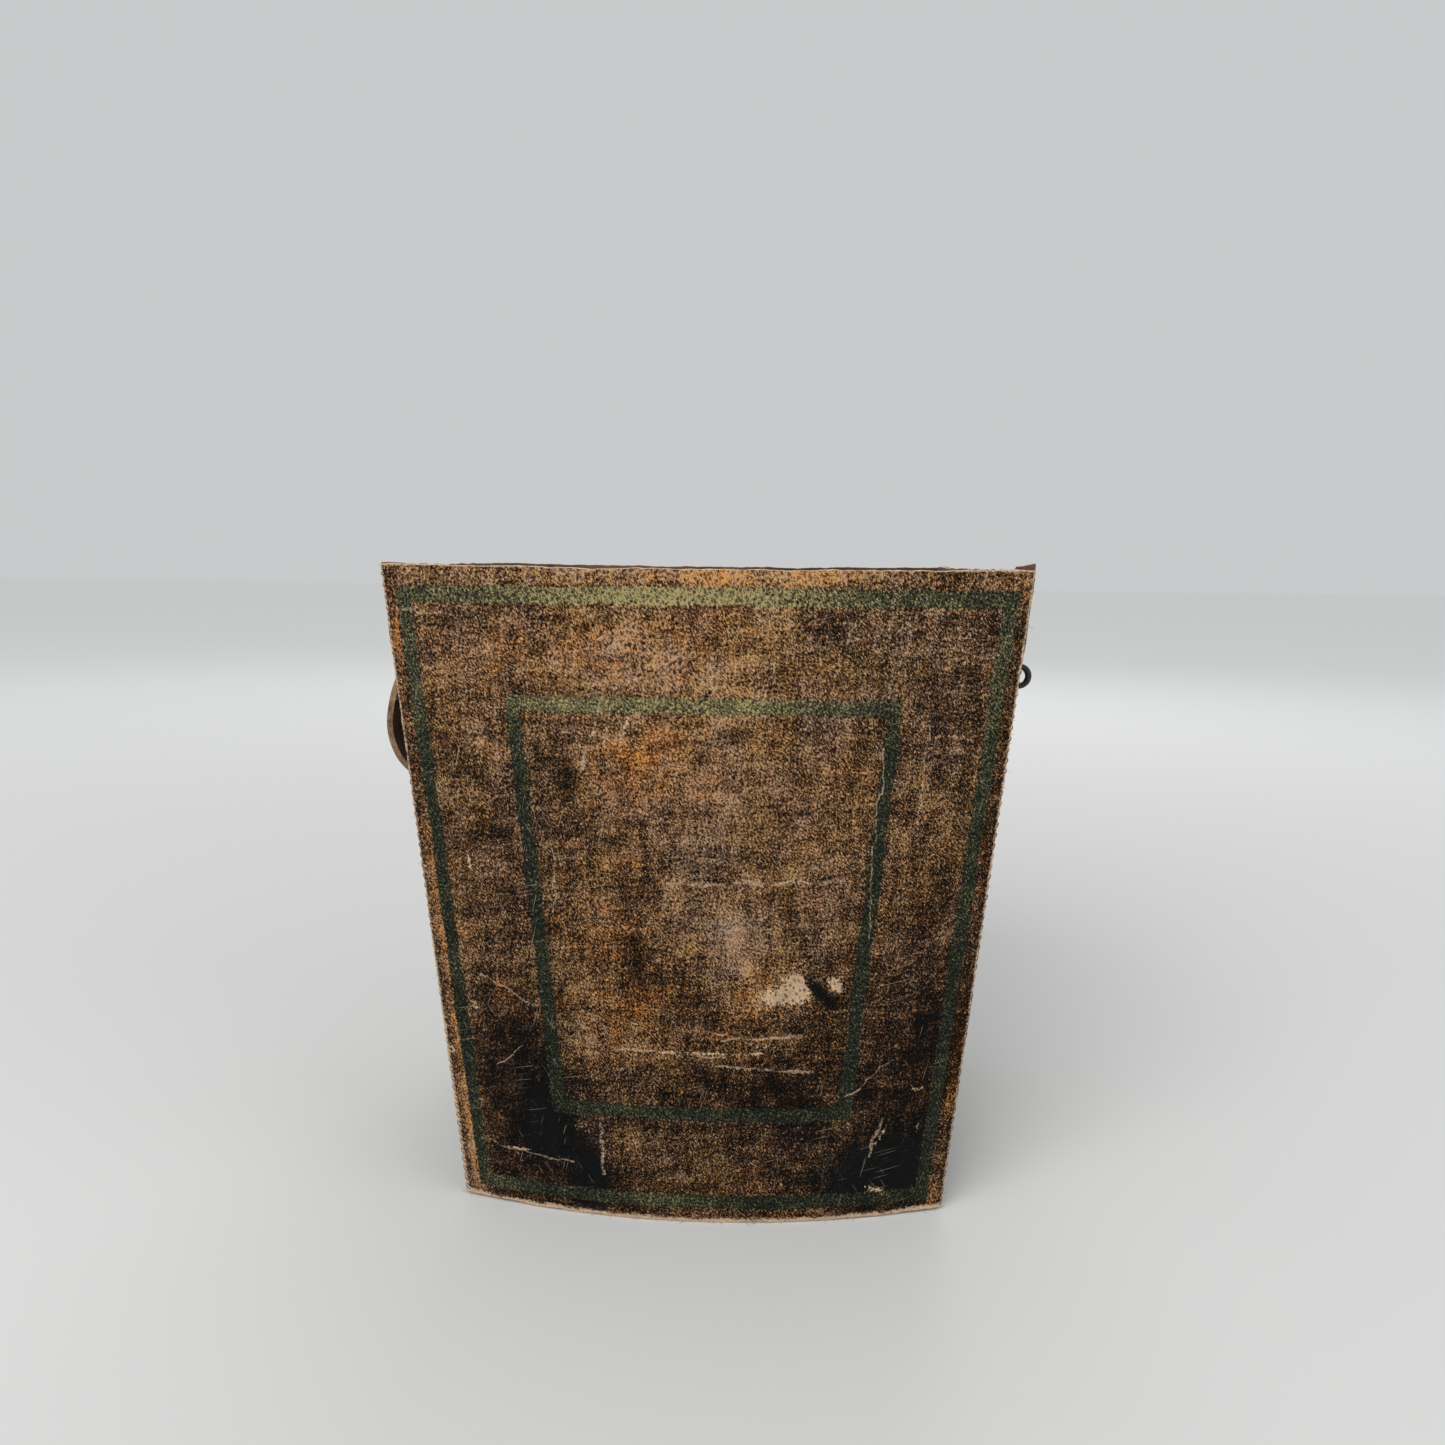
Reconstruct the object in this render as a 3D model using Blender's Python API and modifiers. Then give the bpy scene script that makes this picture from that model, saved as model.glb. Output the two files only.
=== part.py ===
# Leather wastepaper basket. Four bowed, tapered leather walls meet in flanged corner
# seams, a tray of leather with a stiff board in it closes the bottom, and a strap
# handle swings on two lace loops at the left side. The right side keeps only its laces.
# Metres, +Z up. The origin is on the floor under the middle, and the front faces -Y.

import math

import bmesh
import bpy
from mathutils import Vector

# Walls
HEIGHT = 0.300              # upright height at the middle of the front
TOP_WIDTH = 0.272           # front wall at the rim, edge to edge
BOTTOM_WIDTH = 0.227        # front wall at the floor, edge to edge
TOP_DEPTH = 0.210           # between the front and rear seams at the rim
BOTTOM_DEPTH = 0.165        # between the front and rear seams at the floor
FRONT_BOW_TOP = 0.0105      # how far the front and rear bulge from their seams
FRONT_BOW_BOTTOM = 0.0160
SIDE_BOW_TOP = 0.0080       # how far the sides bulge from their seams
SIDE_BOW_BOTTOM = 0.0085
LEATHER = 0.0022            # wall thickness
GAP = 0.0003                # left between pieces that touch

# Corner seams
FLANGE_PROUD = 0.0007       # side wall's turned flange, past the front wall's cut edge
FOLD_RADIUS = 0.0020        # grain side of the turned fold
THREAD = 0.0008             # thickness of the overcast stitches
STITCH_REACH = 0.0020       # stitches over the wall, in from its edge
STITCH_TO_FOLD = 0.0005     # flat flange between the stitches and the fold
FLANGE_WIDTH = STITCH_REACH + STITCH_TO_FOLD + FOLD_RADIUS

# Base
BASE_LEATHER = 0.0022
BASE_UPSTAND = 0.0110       # turned-up edge glued inside the walls
BASE_CORNER = 0.0080        # corner radius of the base
BASE_FOLD = 0.0015          # softened lower edge of the base
BOARD = 0.0030              # stiff board that lies in the base

# Lace loops
LACE = 0.0024               # thickness of the round lace
LACE_BEND = 0.0045          # middle of the lace, round its outer end
LACE_INNER_BEND = 0.0018    # middle of the lace, round its inner corners
LACE_TO_SEAM = 0.0300       # along the side, from the seam to the lace
RIM_TO_LACE = 0.0461        # from the rim down to the middle of the lace loop
LACE_PLAY = 0.0008          # hole in the wall, larger than the lace

# Strap handle
STRAP_WIDTH = 0.0170
STRAP = 0.0026              # thickness
STRAP_TAB = 0.0060          # strap past the middle of its eye
STRAP_EYE_PLAY = 0.0020     # eye that the lace runs through, larger than the lace
STRAP_CORNER = 0.0240       # middle of the strap, round its two lower corners
STRAP_DROP = 0.0554         # from the lace loops' middle down to the strap's edge
STRAP_REST_GAP = 0.0019     # between the hanging strap and the side wall
EYE_TILT = math.radians(24.8)   # from straight down, outwards, when it hangs
AXIS_STANDOFF = 0.0056      # from the side wall to the middle of the loops' bend

# Fineness of the meshes
WALL_ROWS = 6
FRONT_COLUMNS = 20
FLANGE_STEPS = 2
FOLD_STEPS = 4
HALF_SIDE_STEPS = 6
CORNER_STEPS = 4
STRAP_ROWS = 4
HOLE_SIDES = 10

FRONT_LEAN = math.atan2((TOP_DEPTH - BOTTOM_DEPTH) / 2, HEIGHT)
SIDE_LEAN = math.atan2((TOP_WIDTH - BOTTOM_WIDTH) / 2, HEIGHT)


def mix(start, end, share):
    return start + (end - start) * share


def half_width(level):
    return mix(BOTTOM_WIDTH, TOP_WIDTH, level) / 2


def half_depth(level):
    return mix(BOTTOM_DEPTH, TOP_DEPTH, level) / 2


def front_bow(level):
    return mix(FRONT_BOW_BOTTOM, FRONT_BOW_TOP, level)


def seam_height(level):
    """Height of a corner seam: a bowed wall that leans lifts its corners a little."""
    lift = math.sin(FRONT_LEAN)
    return mix(FRONT_BOW_BOTTOM * lift, HEIGHT + FRONT_BOW_TOP * lift, level)


def level_at(height):
    return (height - seam_height(0)) / (seam_height(1) - seam_height(0))


def front_point(across, level, inset):
    """Point of the front wall: across runs from -1 to 1, inset goes into the basket."""
    bow = front_bow(level)
    lean = Vector((0, -math.cos(FRONT_LEAN), -math.sin(FRONT_LEAN)))
    normal = (Vector((2 * bow * across / half_width(level), 0, 0)) + lean).normalized()
    seam = Vector((across * half_width(level), -half_depth(level), seam_height(level)))
    return seam + lean * bow * (1 - across * across) - normal * inset


def front_point_at(x, level, inset):
    """The same surface as front_point, at a given x."""
    across = x / half_width(level)
    for _ in range(3):
        across += (x - front_point(across, level, inset).x) / half_width(level)
    return front_point(across, level, inset)


def fold_start(level):
    """Where the flange behind the front wall begins to fold round into the side."""
    x = half_width(level) - FLANGE_WIDTH + FOLD_RADIUS
    return front_point_at(x, level, 2 * LEATHER + GAP)


def side_wall_x(y, level):
    """Grain side of the right wall, at a level and a place along it."""
    seam = fold_start(level).y + FOLD_RADIUS
    bow = mix(SIDE_BOW_BOTTOM, SIDE_BOW_TOP, level) * (1 - (y / seam) ** 2)
    return half_width(level) - FLANGE_WIDTH + bow


def side_section(level):
    """Grain side of the right wall at one level, from its front flange to its rear one."""
    width = half_width(level)
    fold = fold_start(level)
    edge_slope = 2 * front_bow(level) / width
    tip_x = width + FLANGE_PROUD - LEATHER * edge_slope
    points = []
    for step in range(FLANGE_STEPS):
        x = mix(tip_x, fold.x, step / FLANGE_STEPS)
        points.append(front_point_at(x, level, 2 * LEATHER + GAP))
    for step in range(FOLD_STEPS + 1):
        turn = math.pi / 2 * step / FOLD_STEPS
        shift = Vector((-math.sin(turn), 1 - math.cos(turn), 0)) * FOLD_RADIUS
        points.append(fold + shift)
    for step in range(1, HALF_SIDE_STEPS + 1):
        y = (fold.y + FOLD_RADIUS) * (1 - step / HALF_SIDE_STEPS)
        x = side_wall_x(y, level)
        drop = (x - width + FLANGE_WIDTH) * math.sin(SIDE_LEAN)
        points.append(Vector((x, y, fold.z - drop)))
    rear = [Vector((p.x, -p.y, p.z)) for p in reversed(points[:-1])]
    return points + rear


def sheet_mesh(name, columns, rows, place):
    """A grid of vertices, each put where place(column, row) says, both from 0 to 1."""
    bm = bmesh.new()
    bmesh.ops.create_grid(bm, x_segments=columns, y_segments=rows, size=1)
    for vert in bm.verts:
        column = round((vert.co.x + 1) / 2 * columns)
        row = round((vert.co.y + 1) / 2 * rows)
        vert.co = place(column / columns, row / rows)
    return finish_mesh(name, bm)


def loft_mesh(name, sections, close_top):
    """Closed outlines joined one to the next, with the first one filled as an end."""
    bm = bmesh.new()
    rings = [[bm.verts.new(p) for p in section] for section in sections]
    count = len(rings[0])
    for lower, upper in zip(rings, rings[1:]):
        for i in range(count):
            j = (i + 1) % count
            bm.faces.new((lower[i], lower[j], upper[j], upper[i]))
    bm.faces.new(list(reversed(rings[0])))
    if close_top:
        bm.faces.new(rings[-1])
    return finish_mesh(name, bm)


def finish_mesh(name, bm):
    mesh = bpy.data.meshes.new(name)
    bm.to_mesh(mesh)
    bm.free()
    return mesh


def material(name, color, roughness):
    made = bpy.data.materials.new(name)
    made.use_nodes = True
    shader = made.node_tree.nodes["Principled BSDF"]
    shader.inputs["Base Color"].default_value = (*color, 1)
    shader.inputs["Roughness"].default_value = roughness
    shader.inputs["Metallic"].default_value = 0
    return made


def add_part(name, data, color, roughness, turn=0):
    """Adds a part; turn swings it round the upright middle line of the basket."""
    part = bpy.data.objects.new(name, data)
    part.rotation_euler.z = turn
    part.data.materials.append(material(name, color, roughness))
    parts.objects.link(part)
    return part


def solidify(part, thickness):
    shell = part.modifiers.new("Thickness", "SOLIDIFY")
    shell.thickness = thickness
    shell.offset = -1
    shell.use_even_offset = True


def drill(part, name, centre, direction, diameter, depth):
    """Cuts a round hole through a part with a cylinder along direction."""
    bm = bmesh.new()
    bmesh.ops.create_cone(
        bm, cap_ends=True, segments=HOLE_SIDES, radius1=diameter / 2, radius2=diameter / 2,
        depth=depth)
    cutter = bpy.data.objects.new(name, finish_mesh(name, bm))
    cutter.rotation_euler = Vector(direction).to_track_quat("Z", "Y").to_euler()
    cutter.location = centre
    cutter.hide_render = True
    cutter.display_type = "WIRE"
    cutters.objects.link(cutter)
    cut = part.modifiers.new(name, "BOOLEAN")
    cut.object = cutter


# Walls

GRAIN_BROWN = (0.160, 0.078, 0.036)
SIDE_BROWN = (0.130, 0.062, 0.030)


def make_front_walls():
    mesh = sheet_mesh("front_panel", FRONT_COLUMNS, WALL_ROWS,
                      lambda column, row: front_point(2 * column - 1, row, 0))
    for name, data, turn in (("front_panel", mesh, 0), ("rear_panel", mesh.copy(), math.pi)):
        solidify(add_part(name, data, GRAIN_BROWN, 0.6, turn), LEATHER)


def make_side_walls():
    sections = [side_section(row / WALL_ROWS) for row in range(WALL_ROWS + 1)]
    columns = len(sections[0]) - 1
    mesh = sheet_mesh("right_panel", columns, WALL_ROWS,
                      lambda column, row: sections[round(row * WALL_ROWS)][round(column * columns)])
    for name, data, turn in (("right_panel", mesh, 0), ("left_panel", mesh.copy(), math.pi)):
        wall = add_part(name, data, SIDE_BROWN, 0.6, turn)
        solidify(wall, LEATHER)
        side = -1 if turn else 1
        for end in (-1, 1):
            for lift in (-LACE_BEND, LACE_BEND):
                z = lace_height + lift
                x = side * side_wall_x(lace_y, level_at(z))
                drill(wall, f"{name}_hole", (x, end * lace_y, z), (1, 0, 0),
                      LACE + LACE_PLAY, 6 * LEATHER)


# Corner seams: the overcast stitching as one folded strip round each pair of edges

THREAD_TAN = (0.300, 0.190, 0.110)


def seam_section(side, level):
    width = half_width(level)
    inner_x = width - STITCH_REACH
    edge_x = width + FLANGE_PROUD + GAP
    back = 2 * LEATHER + 2 * GAP
    outline = [(inner_x, -GAP - THREAD), (edge_x + THREAD, -GAP - THREAD),
               (edge_x + THREAD, back + THREAD), (inner_x, back + THREAD),
               (inner_x, back), (edge_x, back), (edge_x, -GAP), (inner_x, -GAP)]
    points = [front_point_at(side * x, level, inset) for x, inset in outline]
    return points if side > 0 else points[::-1]


def make_seams():
    names = {1: ("front_right", "rear_left"), -1: ("front_left", "rear_right")}
    for side, (front, rear) in names.items():
        sections = [seam_section(side, row / WALL_ROWS) for row in range(WALL_ROWS + 1)]
        mesh = loft_mesh("seam_thread", sections, True)
        add_part(f"seam_thread_{front}", mesh, THREAD_TAN, 0.8)
        add_part(f"seam_thread_{rear}", mesh.copy(), THREAD_TAN, 0.8, math.pi)


# Base

BASE_BROWN = (0.100, 0.050, 0.026)
BOARD_TAN = (0.330, 0.220, 0.130)


def quarter_outline(level, inset):
    """A quarter of the space between the walls, from the front's middle round to the side's.

    The outline keeps inset away from the flesh side of the walls."""
    inner = LEATHER + inset

    def front_y(x):
        return front_point_at(x, level, inner).y

    corner_x = half_width(level) - FLANGE_WIDTH - inner - BASE_CORNER
    for _ in range(4):
        y = front_y(corner_x) + BASE_CORNER
        corner_x = side_wall_x(y, level) - inner - BASE_CORNER
    points = []
    for step in range(HALF_SIDE_STEPS):
        x = corner_x * step / HALF_SIDE_STEPS
        points.append((x, front_y(x)))
    for step in range(CORNER_STEPS + 1):
        turn = math.pi / 2 * step / CORNER_STEPS
        points.append((corner_x + BASE_CORNER * math.sin(turn),
                       front_y(corner_x) + BASE_CORNER * (1 - math.cos(turn))))
    side_y = points[-1][1]
    for step in range(1, HALF_SIDE_STEPS + 1):
        y = side_y * (1 - step / HALF_SIDE_STEPS)
        points.append((side_wall_x(y, level) - inner, y))
    return points


def outline(height, inset):
    """The whole outline at a height, once round from the front's middle."""
    quarter = quarter_outline(level_at(height), inset)
    right = quarter + [(x, -y) for x, y in reversed(quarter[:-1])]
    left = [(-x, y) for x, y in reversed(right[1:-1])]
    return [Vector((x, y, height)) for x, y in right + left]


def make_base():
    sections = [outline(0, GAP + BASE_FOLD), outline(BASE_FOLD, GAP), outline(BASE_UPSTAND, GAP)]
    tray = add_part("base_panel", loft_mesh("base_panel", sections, False), BASE_BROWN, 0.7)
    solidify(tray, BASE_LEATHER)
    lower = BASE_LEATHER + GAP
    rim = outline(lower, GAP + BASE_FOLD + BASE_LEATHER + GAP)
    upper = [Vector((p.x, p.y, lower + BOARD)) for p in rim]
    add_part("base_board", loft_mesh("base_board", [rim, upper], True), BOARD_TAN, 0.9)


# Lace loops: closed rings through two holes in a side wall

LACE_OLIVE = (0.030, 0.030, 0.020)
lace_height = HEIGHT - RIM_TO_LACE
lace_level = level_at(lace_height)
lace_y = half_depth(lace_level) - LACE_TO_SEAM
lace_wall_x = side_wall_x(lace_y, lace_level)
axis_x = lace_wall_x + AXIS_STANDOFF


def make_lace(name, side, end, bend_x):
    """bend_x is how far out the middle of the loop's round end lies."""
    path = []
    for step in range(11):
        turn = math.pi * (step / 10 - 0.5)
        path.append((bend_x + LACE_BEND * math.cos(turn), LACE_BEND * math.sin(turn)))
    inner_x = lace_wall_x - LEATHER - GAP - LACE / 2 - math.tan(SIDE_LEAN) * LACE_BEND
    for top, turns in ((1, range(4)), (-1, range(3, -1, -1))):
        for step in turns:
            turn = math.pi / 2 * step / 3
            x = inner_x + LACE_INNER_BEND * (1 - math.sin(turn))
            z = LACE_BEND - LACE_INNER_BEND * (1 - math.cos(turn))
            path.append((x, top * z))
    curve = bpy.data.curves.new(name, "CURVE")
    curve.dimensions = "3D"
    curve.bevel_depth = LACE / 2
    curve.bevel_resolution = 2
    spline = curve.splines.new("POLY")
    spline.points.add(len(path) - 1)
    for point, (x, z) in zip(spline.points, path):
        point.co = (side * x, end * lace_y, lace_height + z, 1)
    spline.use_cyclic_u = True
    add_part(name, curve, LACE_OLIVE, 0.5)


# Strap handle: a band on a U-shaped path, laid over a round bulge that hangs at the left

STRAP_TAN = (0.260, 0.150, 0.080)


def strap_bulge():
    """Eye, centre and radius of the strap's bulge, in the plane of x outwards and z."""
    down = Vector((math.sin(EYE_TILT), -math.cos(EYE_TILT)))
    eye = Vector((axis_x, lace_height)) + down * LACE_BEND
    foot_z = lace_height - STRAP_DROP
    foot_x = side_wall_x(0, level_at(foot_z)) + STRAP_REST_GAP + STRAP / 2
    chord = Vector((foot_x, foot_z)) - eye
    inward = Vector((-math.cos(EYE_TILT), -math.sin(EYE_TILT)))
    radius = chord.length_squared / (2 * chord.dot(inward))
    centre = eye + inward * radius
    turn = EYE_TILT + math.asin((centre.y - foot_z) / radius)
    return eye, centre, radius, turn * radius


def strap_path(run, leg, grip_half):
    """Place and heading on the flat U path, at a distance run from the first eye."""
    arc = STRAP_CORNER * math.pi / 2
    if run < leg:
        return (-lace_y, run), (0, 1)
    if run < leg + arc:
        turn = (run - leg) / STRAP_CORNER
        centre = (-lace_y + STRAP_CORNER, leg)
        place = (centre[0] - STRAP_CORNER * math.cos(turn), centre[1] + STRAP_CORNER * math.sin(turn))
        return place, (math.sin(turn), math.cos(turn))
    return (run - leg - arc - grip_half, leg + STRAP_CORNER), (1, 0)


def make_strap():
    """Makes the strap with its origin on the line it swings about."""
    axis = Vector((-axis_x, 0, lace_height))
    eye, centre, radius, drop = strap_bulge()
    outer = radius + STRAP / 2
    leg = drop - STRAP_WIDTH / 2 - STRAP_CORNER
    grip_half = lace_y - STRAP_CORNER
    half_run = leg + STRAP_CORNER * math.pi / 2 + grip_half
    tab_stops = [-STRAP_TAB * math.sin(math.radians(a)) for a in (78, 55, 30)]
    leg_stops = [leg * i / 4 for i in range(4)]
    arc_stops = [leg + STRAP_CORNER * math.pi / 2 * i / 7 for i in range(7)]
    grip_stops = [half_run - grip_half * (1 - i / 3) for i in range(4)]
    stops = tab_stops + leg_stops + arc_stops + grip_stops

    def place(column, row):
        index = round(column * (2 * len(stops) - 2))
        mirrored = index >= len(stops)
        run = stops[2 * len(stops) - 2 - index if mirrored else index]
        (y, d), (head_y, head_d) = strap_path(run, leg, grip_half)
        half = STRAP_WIDTH / 2
        if run < 0:
            half *= math.sqrt(1 - (run / STRAP_TAB) ** 2)
        aside = half * (1 - 2 * row)
        y, d = y + head_d * aside, d - head_y * aside
        angle = EYE_TILT - d / radius
        x = -centre.x - outer * math.cos(angle)
        z = centre.y + outer * math.sin(angle)
        return Vector((x, -y if mirrored else y, z)) - axis

    mesh = sheet_mesh("handle_strap", 2 * len(stops) - 2, STRAP_ROWS, place)
    strap = add_part("handle_strap", mesh, STRAP_TAN, 0.6)
    strap.location = axis
    solidify(strap, STRAP)
    through = (-math.cos(EYE_TILT), 0, math.sin(EYE_TILT))
    for end in (-1, 1):
        drill(strap, "strap_eye", (-eye.x, end * lace_y, eye.y), through,
              LACE + STRAP_EYE_PLAY, 4 * STRAP)
    return -(centre.x + outer)


def make_laces(strap_reach):
    """The empty loops at the right stand out as far as the strap does at the left."""
    empty_bend_x = -strap_reach - LACE / 2 - LACE_BEND
    for end, where in ((-1, "front"), (1, "rear")):
        make_lace(f"lace_left_{where}", -1, end, axis_x)
        make_lace(f"lace_right_{where}", 1, end, empty_bend_x)


for old in list(bpy.data.objects):
    bpy.data.objects.remove(old, do_unlink=True)

parts = bpy.data.collections.new("wastepaper_basket")
cutters = bpy.data.collections.new("cutters")
bpy.context.scene.collection.children.link(parts)
bpy.context.scene.collection.children.link(cutters)

make_front_walls()
make_side_walls()
make_seams()
make_base()
make_laces(make_strap())
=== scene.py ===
import math
import random

import bmesh
import bpy
import numpy as np
from mathutils import Matrix, Vector, noise


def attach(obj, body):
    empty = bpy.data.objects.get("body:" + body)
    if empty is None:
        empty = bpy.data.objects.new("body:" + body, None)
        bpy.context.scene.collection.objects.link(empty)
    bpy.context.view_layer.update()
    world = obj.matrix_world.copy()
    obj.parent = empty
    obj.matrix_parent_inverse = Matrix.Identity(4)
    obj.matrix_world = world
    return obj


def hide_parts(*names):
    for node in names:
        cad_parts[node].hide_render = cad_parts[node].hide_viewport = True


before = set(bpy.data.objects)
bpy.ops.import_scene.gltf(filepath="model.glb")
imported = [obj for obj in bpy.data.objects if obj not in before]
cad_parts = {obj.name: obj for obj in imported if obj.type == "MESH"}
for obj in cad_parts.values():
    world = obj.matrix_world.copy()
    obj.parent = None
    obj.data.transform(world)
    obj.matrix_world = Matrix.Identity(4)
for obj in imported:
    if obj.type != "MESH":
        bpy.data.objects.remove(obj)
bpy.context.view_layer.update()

print("frame loaded")

# Basket shape, in metres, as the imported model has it

basket = {
    "height": 0.300,
    "topWidth": 0.272,
    "bottomWidth": 0.227,
    "topDepth": 0.210,
    "bottomDepth": 0.165,
    "frontBowTop": 0.0105,
    "frontBowBottom": 0.0160,
    "sideBowTop": 0.0080,
    "sideBowBottom": 0.0085,
    "leather": 0.0022,
    "gap": 0.0003,
    "flangeWidth": 0.0045,
    "flangeProud": 0.0008,
    "foldRadius": 0.0020,
}
frontLean = math.atan2((basket["topDepth"] - basket["bottomDepth"]) / 2, basket["height"])
sideLean = math.atan2((basket["topWidth"] - basket["bottomWidth"]) / 2, basket["height"])


def mix(start, end, share):
    return start + (end - start) * share


def halfWidth(level):
    return mix(basket["bottomWidth"], basket["topWidth"], level) / 2


def halfDepth(level):
    return mix(basket["bottomDepth"], basket["topDepth"], level) / 2


def frontBow(level):
    return mix(basket["frontBowBottom"], basket["frontBowTop"], level)


def seamHeight(level):
    lift = math.sin(frontLean)
    return mix(basket["frontBowBottom"] * lift, basket["height"] + basket["frontBowTop"] * lift, level)


def levelAt(height):
    return (height - seamHeight(0)) / (seamHeight(1) - seamHeight(0))


def frontPoint(across, level, inset=0):
    # across runs from -1 to 1 between the cut edges, inset goes into the basket
    bow = frontBow(level)
    lean = Vector((0, -math.cos(frontLean), -math.sin(frontLean)))
    normal = (Vector((2 * bow * across / halfWidth(level), 0, 0)) + lean).normalized()
    seam = Vector((across * halfWidth(level), -halfDepth(level), seamHeight(level)))
    return seam + lean * bow * (1 - across * across) - normal * inset


def frontPointAt(x, level, inset=0):
    across = x / halfWidth(level)
    for _ in range(3):
        across += (x - frontPoint(across, level, inset).x) / halfWidth(level)
    return frontPoint(across, level, inset)


def foldStart(level):
    x = halfWidth(level) - basket["flangeWidth"] + basket["foldRadius"]
    return frontPointAt(x, level, 2 * basket["leather"] + basket["gap"])


def sideWallX(y, level):
    seam = foldStart(level).y + basket["foldRadius"]
    bow = mix(basket["sideBowBottom"], basket["sideBowTop"], level) * (1 - (y / seam) ** 2)
    return halfWidth(level) - basket["flangeWidth"] + bow


def turned(point):
    # the same place on the opposite wall
    return Vector((-point.x, -point.y, point.z))


# Shader maths: a wrapped socket, so that an expression adds its own nodes

class Wire:
    def __init__(self, finish, socket):
        self.finish = finish
        self.socket = socket

    def __add__(self, other):
        return self.finish.math("ADD", self, other)

    __radd__ = __add__

    def __sub__(self, other):
        return self.finish.math("SUBTRACT", self, other)

    def __rsub__(self, other):
        return self.finish.math("SUBTRACT", other, self)

    def __mul__(self, other):
        return self.finish.math("MULTIPLY", self, other)

    __rmul__ = __mul__

    def __truediv__(self, other):
        return self.finish.math("DIVIDE", self, other)

    def __abs__(self):
        return self.finish.math("ABSOLUTE", self)


class Finish:
    def __init__(self, name, shine):
        # shine is how much of the usual glossy light the surface gives back
        self.material = bpy.data.materials.new(name)
        self.material.use_nodes = True
        self.shader = self.material.node_tree.nodes["Principled BSDF"]
        self.shader.inputs["Specular IOR Level"].default_value = shine

    def node(self, kind, settings=None, values=None, output=0):
        made = self.material.node_tree.nodes.new(kind)
        for key, value in (settings or {}).items():
            if key == "stops":
                self.setStops(made.color_ramp, value)
            else:
                setattr(made, key, value)
        for key, value in (values or {}).items():
            self.feed(made.inputs[key], value)
        return Wire(self, made.outputs[output])

    def feed(self, socket, value):
        if isinstance(value, Wire):
            self.material.node_tree.links.new(value.socket, socket)
        elif isinstance(value, tuple) and len(value) == 3 and socket.type == "RGBA":
            socket.default_value = (*value, 1)
        else:
            socket.default_value = value

    def setStops(self, ramp, stops):
        while len(ramp.elements) < len(stops):
            ramp.elements.new(1.0)
        for element, (spot, color) in zip(ramp.elements, stops):
            element.position = spot
            element.color = (*color, 1)

    def outputOf(self, wire, index):
        return Wire(self, wire.socket.node.outputs[index])

    def ramp(self, value, stops):
        return self.node("ShaderNodeValToRGB", {"stops": stops}, {0: value})

    def shade(self, value):
        # a grey vector, to make a colour lighter or darker
        return self.join(value, value, value)

    def math(self, operation, first, second=0.0):
        return self.node("ShaderNodeMath", {"operation": operation}, {0: first, 1: second})

    def vector(self, operation, first, second=(0, 0, 0)):
        return self.node("ShaderNodeVectorMath", {"operation": operation}, {0: first, 1: second})

    def times(self, first, second):
        return self.vector("MULTIPLY", first, second)

    def blend(self, share, first, second):
        return self.node("ShaderNodeMix", {"data_type": "RGBA"}, {0: share, 6: first, 7: second}, 2)

    def step(self, value, low, high):
        settings = {"interpolation_type": "SMOOTHSTEP"}
        return self.node("ShaderNodeMapRange", settings, {0: value, 1: low, 2: high})

    def cloud(self, place, scale, detail=2.0, rough=0.5, twist=0.0):
        values = {"Vector": place, "Scale": scale, "Detail": detail, "Roughness": rough}
        return self.node("ShaderNodeTexNoise", None, {**values, "Distortion": twist})

    def cells(self, place, scale, dimensions="3D"):
        settings = {"voronoi_dimensions": dimensions}
        return self.node("ShaderNodeTexVoronoi", settings, {"Vector": place, "Scale": scale})

    def stroke(self, place, start, end, width):
        # 1 along a thin straight line between two places, fading over its width
        along = Vector((*end, 0)) - Vector((*start, 0))
        off = self.vector("SUBTRACT", place, (*start, 0))
        share = self.vector("DOT_PRODUCT", off, tuple(along / along.length_squared))
        share = self.node("ShaderNodeClamp", None, {0: self.outputOf(share, 1)})
        foot = self.times(tuple(along), self.shade(share))
        reach = self.outputOf(self.vector("LENGTH", self.vector("SUBTRACT", off, foot)), 1)
        return 1 - self.step(reach, width * 0.4, width)

    def most(self, first, second):
        return self.math("MAXIMUM", first, second)

    def least(self, first, second):
        return self.math("MINIMUM", first, second)

    def place(self):
        # object coordinates in millimetres
        values = {0: self.node("ShaderNodeTexCoord", output=3), "Scale": 1000.0}
        return self.node("ShaderNodeVectorMath", {"operation": "SCALE"}, values)

    def split(self, vector):
        parts = self.node("ShaderNodeSeparateXYZ", None, {0: vector})
        return [self.outputOf(parts, i) for i in range(3)]

    def join(self, x, y, z=0.0):
        return self.node("ShaderNodeCombineXYZ", None, {0: x, 1: y, 2: z})

    def dress(self, color, roughness, height=None, depth=0.001, strength=1.0):
        self.feed(self.shader.inputs["Base Color"], color)
        self.feed(self.shader.inputs["Roughness"], roughness)
        if height is not None:
            values = {"Height": height, "Distance": depth, "Strength": strength}
            self.feed(self.shader.inputs["Normal"], self.node("ShaderNodeBump", None, values))
        return self.material


# Leather grain side

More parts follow.
